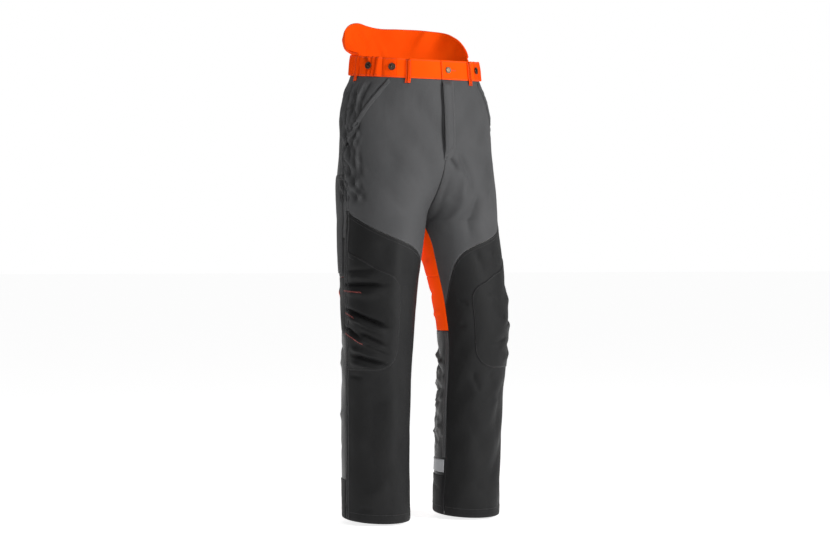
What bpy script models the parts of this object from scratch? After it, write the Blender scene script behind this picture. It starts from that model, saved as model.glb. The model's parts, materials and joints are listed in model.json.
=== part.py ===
"""Protective work trousers with an elasticated waistband, raised kidney guard, layered saw-pad legs,
hinged hips and knees, a sliding fly zip and a flapped back pocket.

Metres, +Z up. The origin is the centre of the waist opening at the waistband's top edge.
The front faces -Y and the wearer's right is -X. The trousers hang with the legs apart.
"""

import math

import bmesh
import bpy
import numpy as np
from mathutils import Matrix, Vector

RIGHT, LEFT = -1, 1
SEAM_GAP = 0.0004  # clearance between neighbouring panels
BAND_DEPTH, BAND_GAP = 0.048, 0.0013
CROTCH = -0.33
CROTCH_RISE = 0.11  # height over which the two legs merge into one waist section
HEM = -1.085
RAKE = 0.10  # slope of the waist and of the hems, higher at the back

# Section tables: depth below the waistband's top edge, then the size at that depth.
OUTER_HALF_WIDTH = ((0.0, 0.158), (0.048, 0.163), (0.12, 0.180), (0.20, 0.192), (0.27, 0.197), (0.33, 0.198))
LEG_HALF_WIDTH = ((0.33, 0.0985), (0.45, 0.096), (0.63, 0.086), (0.85, 0.080), (1.085, 0.080))
LEG_CENTRE = ((0.33, 0.0995), (0.45, 0.112), (0.63, 0.131), (0.85, 0.130), (1.085, 0.126))
FRONT_DEPTH = ((0.0, 0.120), (0.25, 0.128), (0.33, 0.118), (0.45, 0.105), (0.63, 0.090), (0.85, 0.082),
               (1.085, 0.080))
BACK_DEPTH = ((0.0, 0.118), (0.10, 0.130), (0.22, 0.140), (0.33, 0.128), (0.45, 0.105), (0.63, 0.085),
              (0.85, 0.085), (1.085, 0.080))
CENTRE_Y = ((0.0, 0.0), (0.33, -0.012), (0.50, -0.030), (0.63, -0.045), (0.85, -0.035), (1.085, -0.030))
GUARD_HEIGHT = ((92, 0.018), (100, 0.040), (120, 0.058), (150, 0.072), (180, 0.082), (225, 0.086),
                (250, 0.084), (262, 0.072), (270, 0.045), (273, 0.020))

# Joints: each leg bends about level axes. The panels end on cylinders about those axes.
HIP_PIVOT, HIP_RADIUS = (-0.010, -0.240), 0.150
KNEE_PIVOT, KNEE_RADIUS = (-0.045, -0.630), 0.105
JOINT_GAP = 0.0030

HIP_LINES = (-0.11, -0.17, -0.22, -0.26, -0.29, -0.31)  # shared rows of the nested hip layers

SHELL = 0.0012
PAD_OUT, PAD_THICK = -0.0025, 0.005
LINING_OUT, HIP_LINING_OUT, LINING_THICK = -0.0087, -0.0065, 0.0008
PATCH_OUT, PATCH_THICK = 0.0017, 0.0012

LOOP_ANGLES = {"front_right": -31, "front_left": 31, "side_right": -88, "side_left": 88,
               "back_right": -140, "back_left": 140, "back": 180}
LOOP_WIDTH, LOOP_STAND, LOOP_TOP, LOOP_BOTTOM, LOOP_FOOT = 0.013, 0.0080, -0.003, -0.060, 0.003
BRACE_ANGLES = {"right_front": -46, "right_side": -71, "left_front": 46, "left_side": 71,
                "back_right": -168, "back_left": 168}
BRACE_HEIGHT, BRACE_RADIUS = -0.022, 0.0085

FLY_BOTTOM, FLY_WIDTH, FLY_BULGE = -0.235, 0.038, 0.0086
ZIP_X, ZIP_HALF, SLIDER_TOP, SLIDE_LENGTH = 0.012, 0.006, -0.068, 0.118

COLOURS = {  # base colour, roughness, metallic
    "orange": ((0.86, 0.075, 0.012), 0.80, 0.0),
    "grey": ((0.095, 0.095, 0.097), 0.85, 0.0),
    "black": ((0.020, 0.020, 0.021), 0.80, 0.0),
    "charcoal": ((0.028, 0.028, 0.030), 0.82, 0.0),
    "pad": ((0.75, 0.74, 0.70), 0.90, 0.0),
    "lining": ((0.10, 0.10, 0.105), 0.85, 0.0),
    "silver_tape": ((0.42, 0.43, 0.44), 0.45, 0.0),
    "steel": ((0.55, 0.55, 0.54), 0.35, 1.0),
    "dark_metal": ((0.09, 0.07, 0.06), 0.35, 1.0),
    "plastic": ((0.015, 0.015, 0.016), 0.50, 0.0),
}


def look_up(table, z):
    depths, sizes = zip(*table)
    return np.interp(-z, depths, sizes)


def section(z):
    """Half-width, centre and starting angle of one side's section at height z."""
    rise = np.clip((z - CROTCH) / CROTCH_RISE, 0, 1)
    overlap = np.sqrt(1 - rise**0.9)
    above = z > CROTCH
    half = np.where(above, look_up(OUTER_HALF_WIDTH, z) / (1 + overlap), look_up(LEG_HALF_WIDTH, z))
    centre = np.where(above, overlap * half, look_up(LEG_CENTRE, z))
    return half, centre, np.where(above, np.arccos(np.clip(centre / half, 0, 1)), 0)


def raked(x, y, z):
    """The point with the waist and the hem tilted: higher at the back."""
    fade = np.clip((z + 0.25) / 0.25, 0, 1) + np.clip((-z - 0.9) / 0.185, 0, 1)
    return np.stack([x, y, z + RAKE * (y - look_up(CENTRE_Y, z)) * fade], axis=-1)


def body_point(side, turn, z, out=0.0):
    """A point on one side. turn is 0 at the centre front or inseam, 1 at the outseam, 2 at the back."""
    turn, z = np.broadcast_arrays(np.asarray(turn, float), np.asarray(z, float))
    half, centre, start = section(z)
    angle = start + (math.pi - start) * turn
    depth = np.where(turn <= 1, look_up(FRONT_DEPTH, z), look_up(BACK_DEPTH, z))
    x = np.minimum(-centre + (half + out) * np.cos(angle), -SEAM_GAP)
    y = look_up(CENTRE_Y, z) - (depth + out) * np.sin(angle)
    return raked(-side * x, y, z)


def waist_point(degrees, z, out=0.0):
    """A point on the waist, by its angle from the centre front towards the wearer's left."""
    angle, z = np.broadcast_arrays(np.radians(degrees), np.asarray(z, float))
    depth = np.where(np.cos(angle) > 0, look_up(FRONT_DEPTH, z), look_up(BACK_DEPTH, z))
    x = (look_up(OUTER_HALF_WIDTH, z) + out) * np.sin(angle)
    return raked(x, look_up(CENTRE_Y, z) - (depth + out) * np.cos(angle), z)


def front_point(x, z, out=0.0):
    """A point on the front, by its distance from the centre line."""
    x, z = np.broadcast_arrays(np.asarray(x, float), np.asarray(z, float))
    half, centre, _ = section(z)
    across = (np.abs(x) - centre) / (half + out)
    y = look_up(CENTRE_Y, z) - (look_up(FRONT_DEPTH, z) + out) * np.sqrt(1 - across**2)
    return raked(x, y, z)


def arc_heights(side, turns, out, pivot, radius):
    """The heights below a pivot at which the surface meets a cylinder about that pivot."""
    heights = np.full(len(turns), pivot[1] - radius)
    for _ in range(60):
        across = body_point(side, turns, heights, out)[:, 1] - pivot[0]
        target = pivot[1] - np.sqrt(np.maximum(radius**2 - across**2, 0))
        heights = heights + 0.4 * (target - heights)
    return heights


def columns(first, last, count_per_turn=8):
    inner = np.arange(math.ceil(first * count_per_turn), math.floor(last * count_per_turn) + 1) / count_per_turn
    inner = inner[(inner > first + 0.02) & (inner < last - 0.02)]
    return np.concatenate([[first], inner, [last]])


def even_rows(top, bottom, count):
    share = np.linspace(0, 1, count)
    return top[:, None] * (1 - share) + bottom[:, None] * share


MATERIALS = {}


def material(name, colour):
    base, roughness, metallic = COLOURS[colour]
    made = bpy.data.materials.new(name)
    made.use_nodes = True
    shader = made.node_tree.nodes["Principled BSDF"]
    shader.inputs["Base Color"].default_value = (*base, 1)
    shader.inputs["Roughness"].default_value = roughness
    shader.inputs["Metallic"].default_value = metallic
    made.diffuse_color = (*base, 1)
    return made


def add_object(name, mesh, colour, pivot=(0, 0, 0)):
    """An object with its origin on its joint's axis and its mesh left where it is in the world."""
    mesh.transform(Matrix.Translation(-Vector(pivot)))
    mesh.materials.append(material(name, colour))
    made = bpy.data.objects.new(name, mesh)
    made.location = pivot
    bpy.context.scene.collection.objects.link(made)
    return made


def panel(name, points, thickness, colour, pivot=(0, 0, 0), flip=False):
    """A cloth panel: a grid of points on its outer face, thickened inwards."""
    across, down = points.shape[:2]
    index = np.arange(across * down).reshape(across, down)
    quads = np.stack([index[:-1, :-1], index[1:, :-1], index[1:, 1:], index[:-1, 1:]], axis=-1).reshape(-1, 4)
    if flip:
        quads = quads[:, ::-1]
    mesh = bpy.data.meshes.new(name)
    mesh.from_pydata(points.reshape(-1, 3).tolist(), [], quads.tolist())
    mesh.shade_smooth()
    made = add_object(name, mesh, colour, pivot)
    cloth = made.modifiers.new("Cloth thickness", "SOLIDIFY")
    cloth.thickness = thickness
    cloth.offset = -1
    return made


def side_panel(name, side, turns, heights, out, thickness, colour, pivot=(0, 0, 0)):
    return panel(name, body_point(side, turns[:, None], heights, out), thickness, colour, pivot, side == LEFT)


def disc(name, centre, normal, radius, thickness, colour, taper=0.82, pivot=(0, 0, 0)):
    """A button: a short cone with its base on the cloth and its narrower face outwards."""
    work = bmesh.new()
    bmesh.ops.create_cone(work, cap_ends=True, segments=20, radius1=radius, radius2=radius * taper, depth=thickness)
    turn = Vector((0, 0, 1)).rotation_difference(Vector(normal)).to_matrix().to_4x4()
    work.transform(Matrix.Translation(Vector(centre) + Vector(normal) * thickness / 2) @ turn)
    mesh = bpy.data.meshes.new(name)
    work.to_mesh(mesh)
    work.free()
    return add_object(name, mesh, colour, pivot)


def outward(place, across, z, step=0.001):
    """The unit outward normal of a surface function at a point."""
    along = place(across + step, z, 0.0) - place(across - step, z, 0.0)
    up = place(across, z + step, 0.0) - place(across, z - step, 0.0)
    normal = np.cross(along, up)
    proud = place(across, z, step) - place(across, z, 0.0)
    return normal / np.linalg.norm(normal) * np.sign(normal @ proud)


def plate(name, centre, across, along, normal, size, colour, pivot):
    """A small flat plate with bevelled edges, in a frame of three directions."""
    work = bmesh.new()
    bmesh.ops.create_cube(work, size=1)
    bmesh.ops.scale(work, vec=size, verts=work.verts)
    bmesh.ops.bevel(work, geom=work.edges[:], offset=min(size) * 0.2, segments=1, affect="EDGES")
    frame = Matrix((across, along, normal)).transposed().to_4x4()
    work.transform(Matrix.Translation(Vector(centre)) @ frame)
    mesh = bpy.data.meshes.new(name)
    work.to_mesh(mesh)
    work.free()
    return add_object(name, mesh, colour, pivot)


def belt_loop(name, degrees):
    """A strap that stands off the band, with a folded foot at each end."""
    stand = LOOP_STAND
    profile = ((0.0012, LOOP_TOP), (stand + SHELL, LOOP_TOP), (stand + SHELL, LOOP_BOTTOM), (0.0005, LOOP_BOTTOM),
               (0.0005, LOOP_BOTTOM + LOOP_FOOT), (stand, LOOP_BOTTOM + LOOP_FOOT), (stand, LOOP_TOP - LOOP_FOOT),
               (0.0012, LOOP_TOP - LOOP_FOOT))
    outs, heights = np.array(profile).T
    points = waist_point(np.full(len(outs), float(degrees)), heights, outs)
    tangent = waist_point(degrees + 1.0, -0.03) - waist_point(degrees - 1.0, -0.03)
    tangent[2] = 0
    tangent *= LOOP_WIDTH / 2 / np.linalg.norm(tangent)
    work = bmesh.new()
    ends = [[work.verts.new(point + sign * tangent) for point in points] for sign in (-1, 1)]
    work.faces.new(ends[0])
    work.faces.new(ends[1][::-1])
    for i in range(len(profile)):
        j = (i + 1) % len(profile)
        work.faces.new((ends[0][j], ends[0][i], ends[1][i], ends[1][j]))
    bmesh.ops.recalc_face_normals(work, faces=work.faces)
    mesh = bpy.data.meshes.new(name)
    work.to_mesh(mesh)
    work.free()
    add_object(name, mesh, "orange")


def make_waist():
    top, bottom = -0.0, -BAND_DEPTH
    rows = np.linspace(top, bottom, 3)[None, :]
    spans = {"waistband_right_front": (-42, 0), "waistband_left_front": (0, 42), "waistband_left_side": (42, 122),
             "waistband_back": (122, 238), "waistband_right_side": (238, 318)}
    gap = math.degrees(BAND_GAP / 2 / OUTER_HALF_WIDTH[0][1])
    for name, (first, last) in spans.items():
        degrees = np.linspace(first + gap, last - gap, max(4, round((last - first) / 11.25) + 1))
        panel(name, waist_point(degrees[:, None], rows, 0.0008), 0.003, "orange", flip=True)
    degrees = np.linspace(GUARD_HEIGHT[0][0], GUARD_HEIGHT[-1][0], 25)
    heights = np.interp(degrees, *zip(*GUARD_HEIGHT))[:, None] * np.linspace(1, 0, 5) + SEAM_GAP
    panel("kidney_guard", waist_point(degrees[:, None], heights, 0.0008), 0.005, "orange", flip=True)
    for where, degrees in LOOP_ANGLES.items():
        belt_loop(f"belt_loop_{where}", degrees)
    for where, degrees in BRACE_ANGLES.items():
        normal = outward(waist_point, degrees, BRACE_HEIGHT)
        disc(f"brace_button_{where}", waist_point(degrees, BRACE_HEIGHT, 0.0012), normal, BRACE_RADIUS, 0.0035,
             "dark_metal")
    normal = outward(front_point, 0.014, -0.024)
    disc("waist_button", front_point(0.014, -0.024, 0.0012), normal, 0.0090, 0.0035, "steel")


def hip_rows(side, turns, top, out):
    """Rows from a top edge to the hip cylinder, closer together near the crotch."""
    cut = arc_heights(side, turns, out, HIP_PIVOT, HIP_RADIUS)
    lines = HIP_LINES
    crotch = np.maximum(CROTCH, 0.5 * (lines[-1] + cut))
    return np.stack([np.full(len(turns), z) for z in [top, *lines]] + [crotch, cut], axis=1)


def make_hips(side, word):
    edge = 0.0015
    for name, first, last in (("front_hip", edge, 1 - edge), ("seat", 1 + edge, 2 - edge)):
        turns = columns(first, last)
        side_panel(f"{name}_{word}", side, turns, hip_rows(side, turns, -BAND_DEPTH - SEAM_GAP, 0.0), 0.0, SHELL, "grey")
    turns = columns(edge, 2 - edge)
    side_panel(f"lining_hip_{word}", side, turns, hip_rows(side, turns, -0.055, HIP_LINING_OUT), HIP_LINING_OUT,
               LINING_THICK, "lining")
    turns = columns(0.5, 0.96)
    rows = np.repeat([[-0.056, *HIP_LINES[:4]]], len(turns), axis=0)
    side_panel(f"pocket_bag_{word}", side, turns, rows, -0.0036, 0.0010, "lining")


def make_fly():
    across = np.concatenate([np.linspace(-0.002, 0.022, 4), np.linspace(0.026, FLY_WIDTH, 4)])
    rounded = 1 - np.sqrt(1 - np.minimum((across + 0.002) / (FLY_WIDTH + 0.0022), 1) ** 2)
    bottom = FLY_BOTTOM + 0.042 * rounded
    rows = even_rows(np.full(len(across), -BAND_DEPTH - 0.001), bottom, 8)
    fall = np.clip((FLY_WIDTH - across) / 0.016, 0, 1)
    out = 0.0018 + FLY_BULGE * fall**2 * (3 - 2 * fall)
    panel("fly_flap", front_point(across[:, None], rows, out[:, None]), SHELL, "grey", flip=True)
    across = np.linspace(-0.018, 0.026, 5)
    rows = np.repeat(np.linspace(-0.052, -0.214, 6)[None, :], len(across), axis=0)
    panel("fly_shield", front_point(across[:, None], rows, -0.0038), 0.0010, "grey", flip=True)
    across = np.array([ZIP_X - ZIP_HALF, ZIP_X, ZIP_X + ZIP_HALF])
    rows = np.repeat(np.linspace(-0.052, -0.214, 6)[None, :], len(across), axis=0)
    panel("fly_zip", front_point(across[:, None], rows, 0.0012), 0.0008, "plastic", flip=True)

    start = front_point(ZIP_X, SLIDER_TOP, 0.0)
    down = front_point(ZIP_X, SLIDER_TOP - SLIDE_LENGTH, 0.0) - start
    down[0] = 0
    down = Vector(down).normalized()
    normal = Vector(outward(front_point, ZIP_X, SLIDER_TOP))
    normal = (normal - down * normal.dot(down)).normalized()
    across = down.cross(normal)
    middle = Vector(start) + normal * 0.00295
    plate("fly_slider", middle, across, down, normal, (0.008, 0.010, 0.0022), "steel", tuple(middle))
    hinge = Vector(start) + normal * 0.0050 - down * 0.004
    plate("fly_pull", hinge + down * 0.0065, across, down, normal, (0.005, 0.013, 0.0010), "steel", tuple(hinge))


def make_back_pocket():
    side, first, last, top = RIGHT, 1.45, 1.83, -0.108
    turns = columns(first, last)
    rows = np.repeat(np.linspace(top, -0.235, 4)[None, :], len(turns), axis=0)
    side_panel("back_pocket", side, turns, rows, PATCH_OUT, PATCH_THICK, "grey")
    turns = columns(first - 0.01, last + 0.01)
    hinge_turn, hinge_z, flap_out = 1.625, -0.096, 0.0066
    pivot = tuple(body_point(side, hinge_turn, hinge_z, flap_out - SHELL / 2))
    rows = np.repeat(np.linspace(hinge_z, -0.146, 3)[None, :], len(turns), axis=0)
    side_panel("back_pocket_flap", side, turns, rows, flap_out, SHELL, "grey", pivot)

    def seat_point(turn, z, out):
        return body_point(side, turn, z, out)

    normal = outward(seat_point, hinge_turn, -0.135)
    disc("pocket_snap_stud", body_point(side, hinge_turn, -0.135, PATCH_OUT + 0.0009), normal, 0.0050, 0.0012, "dark_metal")
    disc("pocket_snap_cap", body_point(side, hinge_turn, -0.135, flap_out + 0.0009), normal, 0.0065, 0.0016,
         "dark_metal", pivot=pivot)


def make_leg(side, word):
    edge = 0.0025
    hip = (0, *HIP_PIVOT)
    knee = (0, *KNEE_PIVOT)
    spans = {"front": (edge, 1 - edge), "back": (1 + edge, 2 - edge)}

    def cut(turns, out, pivot, radius):
        return arc_heights(side, turns, out, pivot, radius)

    for name, (first, last) in spans.items():
        turns = columns(first, last)
        top = cut(turns, -SHELL, HIP_PIVOT, HIP_RADIUS + JOINT_GAP)
        bottom = cut(turns, 0.0, KNEE_PIVOT, KNEE_RADIUS)
        tint = "black" if name == "front" else "orange"
        side_panel(f"{name}_thigh_{word}", side, turns, even_rows(top, bottom, 7), 0.0, SHELL, tint, hip)
        top = cut(turns, -SHELL, KNEE_PIVOT, KNEE_RADIUS + JOINT_GAP)
        rows = even_rows(top, np.full(len(turns), HEM), 7)
        side_panel(f"{name}_shin_{word}", side, turns, rows, 0.0, SHELL, "black" if name == "front" else "charcoal", knee)

    for layer, (first, last), out, thick, tint in (
        ("saw_pad", (edge, 1 - edge), PAD_OUT, PAD_THICK, "pad"),
        ("lining", (edge, 2 - edge), LINING_OUT, LINING_THICK, "lining"),
    ):
        turns = columns(first, last)
        top = cut(turns, out - thick, HIP_PIVOT, HIP_RADIUS + JOINT_GAP) - 0.002
        bottom = cut(turns, out, KNEE_PIVOT, KNEE_RADIUS)
        side_panel(f"{layer}_thigh_{word}", side, turns, even_rows(top, bottom, 7), out, thick, tint, hip)
        top = cut(turns, out - thick, KNEE_PIVOT, KNEE_RADIUS + JOINT_GAP) - 0.002
        rows = even_rows(top, np.full(len(turns), HEM + 0.006), 7)
        side_panel(f"{layer}_shin_{word}", side, turns, rows, out, thick, tint, knee)

    turns = columns(1.03, 1.97)
    for name, top, bottom, tint in (("reflective_band", -0.955, -0.985, "silver_tape"), ("heel_guard", -0.993, HEM, "black")):
        rows = np.repeat(np.linspace(top, bottom, 3)[None, :], len(turns), axis=0)
        side_panel(f"{name}_{word}", side, turns, rows, PATCH_OUT, PATCH_THICK, tint, knee)


def make_rule_pocket():
    turns = columns(1.05, 1.42)
    top = arc_heights(RIGHT, turns, 0.0, HIP_PIVOT, HIP_RADIUS + 0.004)
    rows = even_rows(top, np.full(len(turns), -0.51), 4)
    side_panel("rule_pocket", RIGHT, turns, rows, PATCH_OUT, PATCH_THICK, "grey", (0, *HIP_PIVOT))


for item in list(bpy.data.objects):
    bpy.data.objects.remove(item, do_unlink=True)
make_waist()
make_fly()
make_back_pocket()
make_rule_pocket()
for leg_side, leg_word in ((RIGHT, "right"), (LEFT, "left")):
    make_hips(leg_side, leg_word)
    make_leg(leg_side, leg_word)
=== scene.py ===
import json
import math

import bmesh
import bpy
import numpy as np
from mathutils import Matrix, Vector

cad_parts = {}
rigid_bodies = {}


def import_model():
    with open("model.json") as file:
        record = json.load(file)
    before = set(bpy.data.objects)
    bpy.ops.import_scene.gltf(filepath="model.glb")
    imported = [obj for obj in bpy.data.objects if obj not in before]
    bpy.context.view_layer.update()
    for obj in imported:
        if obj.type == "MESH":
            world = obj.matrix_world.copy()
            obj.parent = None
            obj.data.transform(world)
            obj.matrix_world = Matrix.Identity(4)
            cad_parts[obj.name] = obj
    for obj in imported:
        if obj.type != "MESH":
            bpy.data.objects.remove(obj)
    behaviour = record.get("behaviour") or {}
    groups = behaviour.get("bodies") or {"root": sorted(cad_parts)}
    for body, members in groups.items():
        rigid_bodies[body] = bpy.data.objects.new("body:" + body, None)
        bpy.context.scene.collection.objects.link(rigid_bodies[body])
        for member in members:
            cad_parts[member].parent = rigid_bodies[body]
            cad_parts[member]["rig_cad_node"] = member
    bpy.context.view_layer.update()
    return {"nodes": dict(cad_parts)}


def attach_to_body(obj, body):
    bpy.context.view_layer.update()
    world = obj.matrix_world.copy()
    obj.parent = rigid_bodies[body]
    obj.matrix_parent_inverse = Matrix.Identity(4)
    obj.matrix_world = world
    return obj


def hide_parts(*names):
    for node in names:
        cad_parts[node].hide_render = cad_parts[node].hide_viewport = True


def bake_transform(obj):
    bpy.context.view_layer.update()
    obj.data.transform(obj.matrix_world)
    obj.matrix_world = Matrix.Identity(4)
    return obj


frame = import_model()
print("frame loaded:", len(frame["nodes"]), "nodes")

# Depth below the waistband's top edge, then the size there, in metres.
bodyShape = {
    "outerHalfWidth": ((0.0, 0.158), (0.048, 0.1645), (0.08, 0.178), (0.12, 0.188), (0.20, 0.197), (0.27, 0.200),
    (0.33, 0.2005), (0.385, 0.2005)),
    "legHalfWidth": ((0.385, 0.1001), (0.45, 0.0970), (0.63, 0.086), (0.85, 0.080), (1.085, 0.080)),
    "legCentre": ((0.385, 0.1004), (0.45, 0.1105), (0.63, 0.131), (0.85, 0.130), (1.085, 0.126)),
    "frontDepth": ((0.0, 0.120), (0.25, 0.128), (0.33, 0.118), (0.45, 0.105), (0.63, 0.090), (0.85, 0.082),
    (1.085, 0.080)),
    "backDepth": ((0.0, 0.118), (0.10, 0.130), (0.22, 0.140), (0.33, 0.128), (0.45, 0.105), (0.63, 0.085),
    (0.85, 0.085), (1.085, 0.080)),
    "centreY": ((0.0, 0.0), (0.33, -0.012), (0.50, -0.030), (0.63, -0.045), (0.85, -0.035), (1.085, -0.030)),
    "crotch": -0.385,
    "crotchRise": 0.17,
    "hem": -1.085,
    "rake": 0.10,
    "bandDepth": 0.048,
    "girthPerTurn": 0.27,
    "inseamForward": {"right": 0.005, "left": 0.085},
}
sideSign = {"right": -1, "left": 1}
seamAllowance = 0.0004


def smooth(value):
    value = np.clip(value, 0, 1)
    return value * value * (3 - 2 * value)


def throughPoints(pairs, at):
    # A cubic through (position, value) pairs: each span is eased by the slopes of its neighbours, so the cloth has no
    # kinks.
    positions, values = np.array(pairs).T
    slopes = np.gradient(values, positions)
    at = np.clip(np.asarray(at, float), positions[0], positions[-1])
    index = np.clip(np.searchsorted(positions, at, side="right") - 1, 0, len(positions) - 2)
    span = positions[index + 1] - positions[index]
    t = (at - positions[index]) / span
    return (
        values[index] * (2 * t**3 - 3 * t**2 + 1) + slopes[index] * span * (t**3 - 2 * t**2 + t)
        + values[index + 1] * (3 * t**2 - 2 * t**3) + slopes[index + 1] * span * (t**3 - t**2)
    )


def sizeAt(name, z):
    return throughPoints(bodyShape[name], -np.asarray(z, float))


def sectionAt(z):
    # Above the crotch the two leg ellipses overlap by (1 - rise^1.6)^1.6, which falls from one to nothing.
    rise = np.clip((z - bodyShape["crotch"]) / bodyShape["crotchRise"], 0, 1)
    overlap = (1 - rise**1.6) ** 1.6
    above = z > bodyShape["crotch"]
    half = np.where(above, sizeAt("outerHalfWidth", z) / (1 + overlap), sizeAt("legHalfWidth", z))
    centre = np.where(above, overlap * half, sizeAt("legCentre", z))
    return half, centre, np.where(above, np.arccos(np.clip(centre / half, 0, 1)), 0)


def raked(x, y, z):
    fade = np.clip((z + 0.25) / 0.25, 0, 1) + np.clip((-z - 0.9) / 0.185, 0, 1)
    return np.stack([x, y, z + bodyShape["rake"] * (y - sizeAt("centreY", z)) * fade], axis=-1)


def bodyPoint(side, turn, z, out=0.0):
    # x = centre + half-width * cos(angle), y = middle - depth * sin(angle); the angle runs from the inseam (turn 0)
    # over the front to the outseam (turn 1) and over the back to the inseam again (turn 2).
    turn, z, out = np.broadcast_arrays(np.asarray(turn, float), np.asarray(z, float), np.asarray(out, float))
    half, centre, start = sectionAt(z)
    angle = start + (math.pi - start) * turn
    back = smooth((turn - 0.9) / 0.2) + smooth((bodyShape["crotch"] - z) / 0.03) * (smooth((0.1 - turn) / 0.2)
        - smooth((turn - 1.9) / 0.2))
    depth = sizeAt("frontDepth", z) * (1 - back) + sizeAt("backDepth", z) * back
    x = np.minimum(-centre + (half + out) * np.cos(angle), -seamAllowance)
    y = sizeAt("centreY", z) - (depth + out) * np.sin(angle)
    return raked(-sideSign[side] * x, y, z)


def waistPoint(degrees, z, out=0.0):
    # An ellipse round the waist: x = (half-width + out) * sin(angle), y = middle - (depth + out) * cos(angle).
    angle, z, out = np.broadcast_arrays(np.radians(degrees), np.asarray(z, float), np.asarray(out, float))
    back = smooth(0.5 - 2.5 * np.cos(angle))
    depth = sizeAt("frontDepth", z) * (1 - back) + sizeAt("backDepth", z) * back
    x = (sizeAt("outerHalfWidth", z) + out) * np.sin(angle)
    return raked(x, sizeAt("centreY", z) - (depth + out) * np.cos(angle), z)


def frontPoint(x, z, out=0.0):
    x, z, out = np.broadcast_arrays(np.asarray(x, float), np.asarray(z, float), np.asarray(out, float))
    half, centre, _ = sectionAt(z)
    across = np.clip((np.abs(x) - centre) / (half + out), -1, 1)
    y = sizeAt("centreY", z) - (sizeAt("frontDepth", z) + out) * np.sqrt(1 - across**2)
    return raked(x, y, z)


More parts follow.
